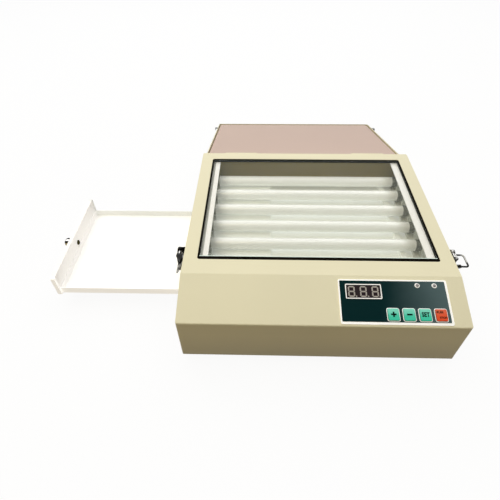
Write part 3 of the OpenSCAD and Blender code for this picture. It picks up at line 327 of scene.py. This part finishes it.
def knob_metal():
    """Turned nickel with painted reflections: bands by the height seen from the camera's side, which is the sum of
    the height and the depth, from a warm painted reflection at the foot over a black band and a bright one to a
    dark rim. The screw behind the knob is dark olive."""
    material, place = start_finish("knob_nickel")
    low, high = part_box("drawer_knob")
    seen = (along(place, 2) + along(place, 1) - (low.z + high.z + low.y + high.y) / 2) / (high.z - low.z)
    band = seen.node("ShaderNodeValToRGB", {"stops": KNOB_REFLECTION_BANDS}, {"Fac": seen * 0.7 + 0.5})
    foot = 1 - (seen > KNOB_FOOT)
    screw = along(place, 0) > high.x + 0.0002
    turned = noise(place, 900.0, 1.0)
    knob = blended(foot, blended(band, KNOB_REFLECTED_DARK, KNOB_REFLECTED_BRIGHT), srgb(196, 184, 140))
    return end_finish(
        material, Metallic=band * (1 - foot) * (1 - screw),
        Base_Color=blended(screw, knob, srgb(58, 54, 20)),
        Roughness=0.14 + turned * 0.08, Specular_IOR_Level=0.02)


# The zinc and the springs carry painted reflections; below the springs' table height only the painted white table
# shows.
FINISH["zinc_steel"] = plated(
    "zinc_steel", srgb(190, 189, 186), 0.16, 0.0006, mirrored=0.004, bright_from=0.46)
FINISH["spring_steel"] = plated(
    "spring_steel", srgb(150, 149, 144), 0.2, 0.0006, mirrored=0.01, table=0.055, bright_from=0.6)
FINISH["knob_nickel"] = knob_metal()
FINISH["galvanised"] = plated("galvanised", srgb(182, 186, 188), 0.38, 0.003)
FINISH["lamp_cap"] = plated("lamp_cap", srgb(128, 126, 116), 0.34, 0.0008)

# %% [markdown]
# ## Rubber and foam
# Rubber is dull, nearly black and faintly powdery. The lid's foam sheet is a fine-celled
# pad: at arm's length it is an even, slightly warm grey-pink, and close up the cut cells
# show as pores, made by a cell texture that sinks the surface at each cell's middle.

# %% Rubber and foam
def rubber(name, colour):
    material, place = start_finish(name)
    dust = noise(place, 130.0, 4.0)
    return end_finish(
        material, Base_Color=blended(dust, colour, scaled(colour, 1.6, 0.004)),
        Roughness=0.5 + dust * 0.3, Normal=bumps(dust, 0.00006, 0.5), Specular_IOR_Level=0.0)


def foam(name, colour, cell):
    """Fine-celled foam: pores by a cell texture, and a slow drift of tone from use."""
    material, place = start_finish(name)
    pores = place.node("ShaderNodeTexVoronoi", {}, {"Vector": place, "Scale": 1 / cell})
    worn = noise(place, 7.0, 4.0)
    return end_finish(
        material, Base_Color=blended(worn * 0.7 + pores * 0.3, scaled(colour, 0.92), scaled(colour, 1.06)),
        Roughness=0.82 + worn * 0.12, Normal=bumps(pores, 0.00025, 0.5), Sheen_Weight=0.15,
        Specular_IOR_Level=0.25)


FINISH["black_rubber"] = rubber("black_rubber", srgb(13, 11, 7))
FINISH["foam_pink"] = foam("foam_pink", srgb(207, 185, 174), 0.0011)

# %% [markdown]
# ## Glass and lamps
# The window is clear float glass with ground edges. Real refraction costs a lot of
# light paths and hides the lamps under it from the studio light, so the plate is a
# thin veil instead: nearly see-through, with one bright line where its front edge
# catches the light.

# %% Glass plate
GLASS_LOW, GLASS_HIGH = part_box("glass_plate")
EDGE_WIDTH = 0.0013


def window_glass():
    """Alpha is low, and high within EDGE_WIDTH of the plate's front edge, where a paler colour paints a highlight.
    """
    material, place = start_finish("clear_glass")
    edge = 1 - (along(place, 1) > GLASS_LOW.y + EDGE_WIDTH)
    smear = noise(place, 14.0, 3.0)
    return end_finish(
        material, Base_Color=blended(edge, srgb(226, 240, 234), srgb(232, 250, 244)),
        Alpha=0.03 + edge * 0.75 + smear * 0.02, Roughness=0.02 + edge * 0.4 + smear * 0.03, IOR=1.5)


FINISH["clear_glass"] = window_glass()

# %% [markdown]
# The left white strip that carries the glass is grey next to the rubber strip, as a painted
# shadow, so its colour follows the distance from the glass's left edge.

# %% Ledge paint
EDGE_SHADOW = 0.0033
EDGE_SHADOW_SOFTNESS = 0.0006


def ledge_paint():
    """Painted shadow: grey within EDGE_SHADOW of the glass's left edge, with a soft step to white."""
    material, place = start_finish("ledge_white")
    inside = along(place, 0) - GLASS_LOW.x
    grey = fading(inside, EDGE_SHADOW - EDGE_SHADOW_SOFTNESS, EDGE_SHADOW + EDGE_SHADOW_SOFTNESS)
    dust = noise(place, 90.0, 3.0)
    return end_finish(
        material, Base_Color=blended(grey, srgb(246, 245, 240), srgb(150, 150, 140)),
        Roughness=0.4 + dust * 0.1)


FINISH["ledge_white"] = ledge_paint()

# %% [markdown]
# The tubes are unlit: glass coated inside with white phosphor, which glows a little as
# painted light. The colour greys towards both ends of a tube, so it follows the
# distance from each tube's middle.

# %% Lamp tubes
TUBE_LOW, TUBE_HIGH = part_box("uv_tube_1")
RING_START, RING_END = 0.001, 0.02


def lamp_glass():
    """White phosphor that greys between RING_END and RING_START from each end of the tube. It glows a
    little as painted light, most where the rear lies in shade: about 0.014 of full white at the front and 0.12
    at the rear."""
    material, place = start_finish("lamp_glass")
    middle = (TUBE_LOW.x + TUBE_HIGH.x) / 2
    reach = (TUBE_HIGH.x - TUBE_LOW.x) / 2
    from_end = reach - abs(along(place, 0) - middle)
    ring = fading(from_end, RING_START, RING_END)
    grain = noise(place, 240.0, 2.0)
    depth = (along(place, 1) - GLASS_LOW.y) / (GLASS_HIGH.y - GLASS_LOW.y)
    return end_finish(
        material,
        Base_Color=blended(ring * 0.45 + grain * 0.05, srgb(241, 242, 237), srgb(160, 157, 142)),
        Roughness=0.1 + grain * 0.05, Coat_Weight=0.6, Coat_Roughness=0.06,
        Emission_Color=blended(depth, (0.1, 0.1, 0.092), (0.85, 0.86, 0.8)), Emission_Strength=0.14)


FINISH["lamp_glass"] = lamp_glass()

# %% [markdown]
# ## Mouldings, film and printed parts
# The small parts of the panel are moulded plastic or printed film. All of them share a
# faint texture from the mould; the control film is darker at its left and paler to the
# right, where it mirrors the room.

# %% Plastics
def moulding(name, colour, roughness, grain_size=0.0006, grain_depth=0.00002, shine=0.5, painted_glow=0.0):
    """Moulded plastic with a fine grain; shine is how strongly it mirrors the room, and whitener
    is painted light: the strength of a glow in the plastic's own colour."""
    material, place = start_finish(name)
    grain = noise(place, 1 / grain_size, 2.0)
    tone = noise(place, 35.0, 2.0)
    return end_finish(
        material, Base_Color=blended(tone, scaled(colour, 0.94), scaled(colour, 1.05)),
        Roughness=roughness + grain * 0.08, Normal=bumps(grain, grain_depth, 0.5),
        Specular_IOR_Level=shine, Emission_Color=colour, Emission_Strength=painted_glow)


FILM_LOW, FILM_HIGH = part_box("control_film")


def panel_film():
    """Dark teal film with a painted reflection that turns it paler from its middle to its right edge."""
    material, place = start_finish("teal_film")
    across = (along(place, 0) - FILM_LOW.x) / (FILM_HIGH.x - FILM_LOW.x)
    pale = fading(across + noise(place, 25.0) * 0.2, 0.45, 1.15, 0.0, 1.0)
    grain = noise(place, 1500.0, 2.0)
    return end_finish(
        material, Base_Color=blended(pale, srgb(3, 38, 40), srgb(84, 104, 108)),
        Roughness=0.28 + grain * 0.1, Normal=bumps(grain, 0.00002, 0.5), Specular_IOR_Level=0.02)


KEY_LOW, KEY_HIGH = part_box("plus_key")


def key_plastic(name, colour, pale):
    """Satin key plastic that turns pale towards the upper edge of the keys, where the light glances."""
    material, place = start_finish(name)
    up = (along(place, 1) - KEY_LOW.y) / (KEY_HIGH.y - KEY_LOW.y)
    glance = fading(up + noise(place, 150.0) * 0.3, 0.35, 1.1, 0.0, 1.0)
    return end_finish(
        material, Base_Color=blended(glance, colour, pale), Roughness=0.5, Specular_IOR_Level=0.15)


FINISH["teal_film"] = panel_film()
FINISH["holder_plastic"] = moulding("holder_plastic", srgb(208, 208, 198), 0.35)
# The plate's white glows a little: painted light.
FINISH["plate_white"] = moulding("plate_white", srgb(255, 255, 252), 0.35, painted_glow=0.18)
FINISH["display_black"] = moulding("display_black", srgb(40, 30, 34), 0.3, shine=0.05)
FINISH["digit_grey"] = moulding("digit_grey", srgb(164, 158, 150), 0.4)
FINISH["led_red"] = moulding("led_red", srgb(150, 146, 150), 0.2)
FINISH["board_green"] = moulding("board_green", srgb(30, 96, 56), 0.4)
FINISH["component_grey"] = moulding("component_grey", srgb(96, 104, 114), 0.5)
FINISH["ballast_white"] = moulding("ballast_white", srgb(222, 222, 218), 0.5)
FINISH["socket_black"] = moulding("socket_black", srgb(30, 30, 31), 0.4)
FINISH["key_mint"] = key_plastic("key_mint", srgb(64, 208, 176), srgb(136, 230, 210))
FINISH["key_red"] = key_plastic("key_red", srgb(230, 82, 42), srgb(234, 108, 76))
FINISH["rocker_red"] = moulding("rocker_red", srgb(176, 28, 24), 0.3)

# %% Give every CAD node its finish
for part in frame["record"]["subparts"]:
    node = frame["nodes"][part["node"]]
    node.data.materials.clear()
    node.data.materials.append(FINISH[part["material_slot"]])

# %% [markdown]
# ## Surfaces from numbers
# A new piece is a grid of points: rows along one direction, columns along the other,
# all worked out at once with numpy. `surface` joins neighbours into four-sided faces,
# closing either direction where the form runs back into itself.

# %% Surface helpers
def surface(name, grid, slot, body, wrap_rows=False, wrap_columns=False, caps=()):
    """Makes a mesh of a rows x columns x 3 array: point (i, j) joins (i+1, j), (i+1, j+1) and (i, j+1).
    caps lists rows, 0 or -1, that are closed with one many-sided face."""
    rows, columns = grid.shape[:2]
    number = np.arange(rows * columns).reshape(rows, columns)
    i = np.arange(rows if wrap_rows else rows - 1)
    j = np.arange(columns if wrap_columns else columns - 1)
    i, j = np.meshgrid(i, j, indexing="ij")
    next_i, next_j = (i + 1) % rows, (j + 1) % columns
    quads = np.stack([number[i, j], number[next_i, j], number[next_i, next_j], number[i, next_j]], -1)
    faces = quads.reshape(-1, 4).tolist()
    for row in caps:
        ring = number[row].tolist()
        faces.append(ring if row == 0 else ring[::-1])
    mesh = bpy.data.meshes.new(name)
    mesh.from_pydata(grid.reshape(-1, 3).tolist(), [], faces)
    mesh.polygons.foreach_set("use_smooth", np.ones(len(faces), bool))
    mesh.materials.append(FINISH[slot])
    mesh.update()
    piece = bpy.data.objects.new(name, mesh)
    bpy.context.collection.objects.link(piece)
    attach(piece, body)
    return piece


def rounded_outline(half_x, half_y, radius, steps):
    """Points round a rectangle whose corners are quarter circles: each corner's centre plus
    radius times the cosine and sine of an angle that grows all the way round."""
    angle = np.linspace(0, 2 * np.pi, 4 * steps, endpoint=False) + np.pi / (4 * steps)
    outward = np.stack([np.cos(angle), np.sin(angle)], 1)
    return np.sign(outward) * [half_x - radius, half_y - radius] + radius * outward


def vertices(node):
    """All of a CAD node's points as an n x 3 array."""
    flat = np.empty(len(frame["nodes"][node].data.vertices) * 3, np.float32)
    frame["nodes"][node].data.vertices.foreach_get("co", flat)
    return flat.reshape(-1, 3).astype(float)


def turn_about_x(points, degrees, centre):
    """Turns points about a line along x through centre: y and z mix by cosine and sine."""
    cosine, sine = math.cos(math.radians(degrees)), math.sin(math.radians(degrees))
    turn = np.array([[1, 0, 0], [0, cosine, -sine], [0, sine, cosine]])
    return (points - centre) @ turn.T + centre


JOINT = {joint["name"]: joint for joint in frame["joints"]}

# %% [markdown]
# ## The foam pad
# On the real unit a foam sheet is glued into the lid and presses the film against the
# screen. It is soft all round: its edge is rounded over, it swells a little towards its
# middle, and the glue pulls it in at the rim. The pad is drawn as a profile carried
# round a rounded rectangle on the closed lid, then laid back with the lid's own angle.

# %% Foam pad
PAD_SWELL = 0.0007
PAD_ROUNDING = 0.0035
PAD_CORNER = 0.005
PAD_RIPPLE = 0.00025
PAD_RIM = 0.06
FACE_MIDDLE = 0.002
BACK_INSET = 0.01
BACK_ROUNDING = 0.0005
FACE_ROWS = 44
EDGE_ROWS = 9

LID_HINGE = np.array(JOINT["lid_hinge"]["pos_m"])
LID_ANGLE = JOINT["lid_hinge"]["range_deg"][1]


def foam_pad():
    """Rows run from the middle of the face out over the rounded edge to the back. Each row is the
    outline drawn in by an inset. Over the edge, inset and depth follow a quarter circle. The face
    swells with the square root of the distance from the rim over PAD_RIM, at most PAD_SWELL, plus
    slow ripples: sine times cosine of the place."""
    closed = turn_about_x(vertices("lid_pad"), LID_ANGLE, LID_HINGE)
    low, high = closed.min(0), closed.max(0)
    middle, half = (low + high) / 2, (high - low) / 2
    face_inset = np.linspace(half[1] - FACE_MIDDLE, PAD_ROUNDING, FACE_ROWS, endpoint=False)
    edge = np.linspace(np.pi / 2, 0, EDGE_ROWS)
    back = 2 * half[2]
    inset = np.concatenate([face_inset, PAD_ROUNDING * (1 - np.cos(edge)), [0.0, 0.0, BACK_INSET]])
    depth = np.concatenate([np.zeros(FACE_ROWS), PAD_ROUNDING * (1 - np.sin(edge)),
                            [back / 2, back - 2 * BACK_ROUNDING, back - BACK_ROUNDING]])
    share = np.clip(face_inset / PAD_RIM, 0, 1)
    depth[:FACE_ROWS] -= PAD_SWELL * np.sqrt(share)
    unit = rounded_outline(half[0], half[1], PAD_CORNER, 40)
    shrink_x = (half[0] - np.minimum(inset, half[0])) / half[0]
    shrink_y = (half[1] - np.minimum(inset, half[1])) / half[1]
    x = middle[0] + unit[None, :, 0] * shrink_x[:, None]
    y = middle[1] + unit[None, :, 1] * shrink_y[:, None]
    z = low[2] + PAD_SWELL + depth[:, None] + 0 * x
    ripple = PAD_RIPPLE * (np.sin(x * 61 + 1.3) * np.cos(y * 47) + 0.5 * np.sin(x * 23 - y * 31))
    z[:FACE_ROWS] += ripple[:FACE_ROWS] * share[:, None]
    points = np.stack([x, y, np.maximum(z, low[2])], -1).reshape(-1, 3)
    grid = turn_about_x(points, -LID_ANGLE, LID_HINGE).reshape(*x.shape, 3)
    pad = surface("foam_pad", grid, "foam_pink", "lid", wrap_columns=True, caps=(0, -1))
    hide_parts("lid_pad")
    return pad


pad = foam_pad()
print("pad points:", len(pad.data.vertices))

# %% [markdown]
# ## Coil springs on the latch loops
# Each leg of a latch's wire loop carries a small compression spring, which keeps the
# latch tight. A spring is a circle carried along a helix: the place on the helix gives
# the tube's middle, and a ring round it gives the wire. Its end turns lie close together,
# as they do on a bought spring.

# %% Coil springs
SPRING_WIRE = 0.0009
SPRING_OUTER = 0.005
SPRING_START = 0.0019
SPRING_TURNS = 6.5
SPRING_LENGTH = 0.0104
SPRING_CLOSED = 0.85
CLOSED_PITCH = 0.53
BAR_BAND = 0.0022
RING_SIDES = 10
STEPS_A_TURN = 26


def loop_legs(side):
    """The pivot, the direction of both legs at rest and the distance of a leg from the middle."""
    joint = JOINT[side + "_loop_pivot"]
    pivot = np.array(joint["pos_m"])
    wire = vertices(side + "_latch_loop") - pivot
    bar = wire[np.hypot(wire[:, 0], wire[:, 2]) > np.hypot(wire[:, 0], wire[:, 2]).max() - BAR_BAND]
    middle = (bar.max(0) + bar.min(0)) / 2 * [1, 0, 1]
    springs = vertices(side + "_loop_springs")
    leg = (springs[:, 1].max() - springs[:, 1].min()) / 2 - SPRING_OUTER / 2
    return pivot, middle / np.linalg.norm(middle), leg


def coil(pivot, direction, leg, hand):
    """Height rises with the turn, but only CLOSED_PITCH as fast over the first and last
    SPRING_CLOSED turns, which are closed. The ring's points lie on a circle set by the outward
    line and the spring's axis."""
    turn = np.linspace(0, SPRING_TURNS, int(SPRING_TURNS * STEPS_A_TURN))
    eased = np.clip(turn - SPRING_CLOSED, 0, SPRING_TURNS - 2 * SPRING_CLOSED) + CLOSED_PITCH * (
        np.minimum(turn, SPRING_CLOSED) + np.clip(turn - SPRING_TURNS + SPRING_CLOSED, 0, 1))
    height = SPRING_START + SPRING_WIRE / 2 + (SPRING_LENGTH - SPRING_WIRE) * eased / eased[-1]
    across = np.array([0.0, 1.0, 0.0])
    third = np.cross(direction, across)
    out = np.cos(2 * np.pi * turn)[:, None] * across + np.sin(2 * np.pi * turn)[:, None] * third
    radius = (SPRING_OUTER - SPRING_WIRE) / 2
    centre = pivot + across * hand * leg + height[:, None] * direction + radius * out
    ring = np.linspace(0, 2 * np.pi, RING_SIDES, endpoint=False)
    wire = SPRING_WIRE / 2
    return (centre[:, None, :] + wire * np.cos(ring)[None, :, None] * out[:, None, :]
            + wire * np.sin(ring)[None, :, None] * direction)


for side in ("left", "right"):
    pivot, direction, leg = loop_legs(side)
    for hand, row in ((-1, "front"), (1, "rear")):
        spring = surface(f"{side}_{row}_spring", coil(pivot, direction, leg, hand), "spring_steel",
                         side + "_loop", wrap_columns=True, caps=(0, -1))
        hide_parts(side + "_loop_springs")
    print(side, "springs, leg distance, mm:", round(leg * 1000, 2))

# %% [markdown]
# ## Keys with soft caps
# The four keys are moulded caps with a rounded edge and a slightly hollow face, each in
# a pale printed border. A cap is a profile of insets and heights carried round a rounded
# square. The panel slopes, so everything is placed by three directions: across it, up
# along it, and out of it, which is the way against a key's travel.

# %% Panel directions
FACE_BAND = 0.0002

OUT_OF_PANEL = -np.array(JOINT["plus_press"]["axis"], float)
OUT_OF_PANEL /= np.linalg.norm(OUT_OF_PANEL)
ACROSS = np.array([1.0, 0.0, 0.0])
UP_PANEL = np.cross(OUT_OF_PANEL, ACROSS)
PANEL_AXES = np.stack([ACROSS, UP_PANEL, OUT_OF_PANEL])


def panel_box(node):
    """Lowest and highest place of a node, measured across, up and out of the panel."""
    measured = vertices(node) @ PANEL_AXES.T
    return measured.min(0), measured.max(0)


def key_face(key):
    """The middle of a key's face, half its width and height, and how far out its face is. The face
    is all that lies within FACE_BAND of the key's outermost point."""
    low, high = panel_box(key)
    face = vertices(key) @ PANEL_AXES.T
    face = face[face[:, 2] > high[2] - FACE_BAND]
    return (face.min(0) + face.max(0)) / 2, (face.max(0) - face.min(0)) / 2, high[2]


# %% Key caps and borders
CAP_THICK = 0.00095
CAP_EDGE = 0.0004
CAP_CORNER = 0.0015
CAP_HOLLOW = 0.00012
CAP_MIDDLE = 0.0006
CAP_UNDER = 0.002
SHARPEST_CORNER = 0.0002
BORDER_GAP = 0.00015
BORDER_WIDTH = 0.0008
BORDER_RISE = 0.0001
PROFILE_STEPS = 6

KEYS = {"plus": "key_mint", "minus": "key_mint", "set": "key_mint", "run": "key_red"}
FILM_TOP = panel_box("control_film")[1][2]


def carried(outline_half, profile, corner, middle, steps=12):
    """Each (inset, out) pair of the profile gives one ring: the rounded rectangle of half size
    minus inset, at that distance out of the panel."""
    rings = [np.column_stack([rounded_outline(outline_half[0] - inset, outline_half[1] - inset,
                                              max(corner - inset, SHARPEST_CORNER), steps) + middle[:2],
                              np.full(4 * steps, out)]) for inset, out in profile]
    return np.stack(rings) @ PANEL_AXES


def key_cap(name, slot):
    """The edge follows a quarter circle, and the face sinks by CAP_HOLLOW along a parabola."""
    middle, half, top = key_face(name + "_key")
    edge = [(CAP_EDGE * (1 - math.cos(angle)), top - CAP_EDGE + CAP_EDGE * math.sin(angle))
            for angle in np.linspace(0, np.pi / 2, PROFILE_STEPS)]
    reach = half[0] - CAP_EDGE - CAP_MIDDLE
    face = [(CAP_EDGE + share * reach, top - CAP_HOLLOW * (1 - (1 - share) ** 2))
            for share in np.linspace(0.15, 1, PROFILE_STEPS)]
    profile = [(CAP_UNDER, top - CAP_THICK), (0.0, top - CAP_THICK), *edge, *face]
    cap = surface(name + "_cap", carried(half, profile, CAP_CORNER, middle), slot, name + "_button",
                  wrap_columns=True, caps=(0, -1))
    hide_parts(name + "_key")


def key_border(name):
    """A thin printed frame on the film, BORDER_GAP away from the key's sides."""
    middle, half, _ = key_face(name + "_key")
    reach = half[:2] + BORDER_GAP + BORDER_WIDTH
    ring = [(0.0, FILM_TOP), (0.0, FILM_TOP + BORDER_RISE), (BORDER_WIDTH, FILM_TOP + BORDER_RISE),
            (BORDER_WIDTH, FILM_TOP)]
    surface(name + "_border", carried(reach, ring, CAP_CORNER + BORDER_WIDTH, middle),
            "plate_white", "case", wrap_rows=True, wrap_columns=True)


for name, slot in KEYS.items():
    key_cap(name, slot)
    key_border(name)

# %% [markdown]
# ## Marks on the keys
# The marks are printed in dark ink: a plus, a minus and two short words that say what
# such a timer's keys do. Plus and minus are bars; the words are Blender's own letters,
# made a mesh and then laid on the panel.

# %% Key marks
INK_RISE = 0.00004
MARK_LONG = 0.0058
MARK_WIDE = 0.0018
WORD_HEIGHT = 0.0042
WORD_BOLD = 0.045
WORD_SPACING = 1.06
SET_SQUEEZE = 0.76
CURVE_STEPS = 5

FINISH["ink"] = moulding("ink", srgb(16, 34, 30), 0.6, shine=0.0)


def put_on_panel(mesh_points, middle, out):
    """Points drawn flat, in metres, laid on the panel round a middle at a distance out."""
    return (mesh_points + [middle[0], middle[1], out]) @ PANEL_AXES


def ink_piece(name, points, faces, body):
    """A flat-shaded mesh in the colour of ink that moves with its key."""
    mesh = bpy.data.meshes.new(name)
    mesh.from_pydata(points.tolist(), [], faces)
    mesh.materials.append(FINISH["ink"])
    mesh.update()
    piece = bpy.data.objects.new(name, mesh)
    bpy.context.collection.objects.link(piece)
    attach(piece, body)
    return piece


def bar_mark(name, key, length, width, out):
    """A flat bar with eight corners: every mix of plus and minus half its three sizes."""
    middle, _, top = key_face(key)
    signs = np.array([[x, y, z] for x in (-1, 1) for y in (-1, 1) for z in (-1, 1)], float)
    points = put_on_panel(signs * [length / 2, width / 2, INK_RISE], middle, top + out)
    faces = [(0, 1, 3, 2), (4, 6, 7, 5), (0, 4, 5, 1), (2, 3, 7, 6), (0, 2, 6, 4), (1, 5, 7, 3)]
    return ink_piece(name, points, faces, key.replace("_key", "_button"))


def word_mark(name, key, word, height, squeeze, right, up):
    """Blender's built-in letters, thickened by WORD_BOLD times their height, made a mesh, squeezed
    sideways, and laid on the key at a distance right of and above its middle."""
    middle, _, top = key_face(key)
    text = bpy.data.curves.new(name, "FONT")
    text.body, text.size, text.align_x, text.align_y = word, height, "CENTER", "CENTER"
    text.extrude, text.offset, text.resolution_u = INK_RISE, WORD_BOLD * height, CURVE_STEPS
    text.space_character = WORD_SPACING
    holder = bpy.data.objects.new(name + "_text", text)
    mesh = holder.to_mesh()
    flat = np.empty(len(mesh.vertices) * 3, np.float32)
    mesh.vertices.foreach_get("co", flat)
    faces = [tuple(polygon.vertices) for polygon in mesh.polygons]
    letters = flat.reshape(-1, 3) * [squeeze, 1, 1] + [right, up, 0]
    points = put_on_panel(letters, middle, top - CAP_HOLLOW / 2)
    holder.to_mesh_clear()
    bpy.data.objects.remove(holder)
    return ink_piece(name, points, faces, key.replace("_key", "_button"))


bar_mark("plus_mark_level", "plus_key", MARK_LONG, MARK_WIDE, 0.0)
bar_mark("plus_mark_upright", "plus_key", MARK_WIDE, MARK_LONG, INK_RISE / 4)
bar_mark("minus_mark", "minus_key", MARK_LONG, MARK_WIDE, 0.0)
word_mark("set_mark", "set_key", "SET", WORD_HEIGHT * 1.6, SET_SQUEEZE, 0.0, 0.0)
word_mark("run_mark", "run_key", "RUN", WORD_HEIGHT * 0.8, 1.0, -0.0016, 0.003)
word_mark("stop_mark", "run_key", "STOP", WORD_HEIGHT * 0.7, 1.0, 0.0012, -0.003)

# %% [markdown]
# ## Floor and background
# The photograph has a plain white ground. The floor is a wide pale sheet just under the
# feet. Seen directly it is lifted towards white, but it still catches the object's
# shadow. The light that it throws back on the case is weak and warm, as in the photograph.

# %% Floor
FLOOR_SIZE = 6.0
FLOOR_GAP = 0.0001
FLOOR_LIFT = 0.93
FLOOR_SEEN = (0.98, 0.98, 0.98)
FLOOR_LIGHT = (0.255, 0.17, 0.035)


def light_path(tree, *names):
    """1 for the kinds of ray named, such as Is Camera Ray, and 0 for all others."""
    node = tree.nodes.new("ShaderNodeLightPath")
    total = Shade(tree, node.outputs[names[0]])
    for name in names[1:]:
        total = total + Shade(tree, node.outputs[name])
    return total


SEEN = ("Is Camera Ray", "Is Glossy Ray", "Is Transmission Ray")


def floor_paper():
    """The paper has one colour where it is seen and another for the light that it throws back. A ray
    that sees it gets FLOOR_LIFT of its tone from plain white light and the rest from the paper."""
    material, place = start_finish("studio_floor")
    tree = material.node_tree
    paper = noise(place, 3.0)
    directly = light_path(tree, *SEEN)
    thrown = blended(paper, scaled(FLOOR_LIGHT, 0.96), FLOOR_LIGHT)
    end_finish(material, Base_Color=blended(directly, thrown, FLOOR_SEEN), Roughness=1.0,
               Specular_IOR_Level=0.0)
    glow = tree.nodes.new("ShaderNodeEmission")
    lifted = tree.nodes.new("ShaderNodeMixShader")
    feed(tree, lifted.inputs[0], directly * FLOOR_LIFT)
    tree.links.new(tree.nodes["Principled BSDF"].outputs[0], lifted.inputs[1])
    tree.links.new(glow.outputs[0], lifted.inputs[2])
    tree.links.new(lifted.outputs[0], tree.nodes["Material Output"].inputs["Surface"])
    return material


floor_level = CAD_BOX[0][2] - FLOOR_GAP
span = np.linspace(-FLOOR_SIZE / 2, FLOOR_SIZE / 2, 3)
floor_x, floor_y = np.meshgrid(span, span, indexing="ij")
floor_mesh = bpy.data.meshes.new("floor")
floor_points = np.stack([floor_x, floor_y, np.full_like(floor_x, floor_level)], -1).reshape(-1, 3)
floor_mesh.from_pydata(floor_points.tolist(), [], [
    (i * 3 + j, (i + 1) * 3 + j, (i + 1) * 3 + j + 1, i * 3 + j + 1) for i in (0, 1) for j in (0, 1)])
floor_mesh.materials.append(floor_paper())
floor = bpy.data.objects.new("floor", floor_mesh)
bpy.context.collection.objects.link(floor)

# %% [markdown]
# ## Studio light
# A wide soft box hangs above and slightly behind the unit, so that the top is bright and
# the upright front lies in a soft shade, as in the photograph. A small warm lamp in front
# lifts that shade a little. The world adds an even low light, and shows white to the
# camera, to mirrors and through the glass.

# %% World and lamps
WORLD_LEVEL = 0.14
TOP_LIGHT = {"at": (-0.15, 0.72, 1.48), "size": 2.6, "watts": 34.0, "colour": (1.0, 1.0, 1.0)}
FRONT_LIGHT = {"at": (-0.5, -0.75, 1.5), "size": 1.0, "watts": 6.4, "colour": (1.0, 0.85, 0.48)}

world = bpy.data.worlds.new("studio")
world.use_nodes = True
bpy.context.scene.world = world
background = world.node_tree.nodes["Background"]
background.inputs["Color"].default_value = (1.0, 1.0, 1.0, 1.0)
seen = light_path(world.node_tree, *SEEN)
feed(world.node_tree, background.inputs["Strength"], WORLD_LEVEL + seen * (1 - WORLD_LEVEL))


def soft_box(name, at, size, watts, colour):
    """A square lamp turned towards the middle of the case."""
    data = bpy.data.lights.new(name, "AREA")
    data.shape, data.size, data.energy, data.color = "SQUARE", size, watts, colour
    lamp = bpy.data.objects.new(name, data)
    bpy.context.collection.objects.link(lamp)
    lamp.location = at
    lamp.rotation_euler = (-lamp.location).to_track_quat("-Z", "Y").to_euler()
    return lamp


soft_box("top_light", **TOP_LIGHT)
soft_box("front_light", **FRONT_LIGHT)
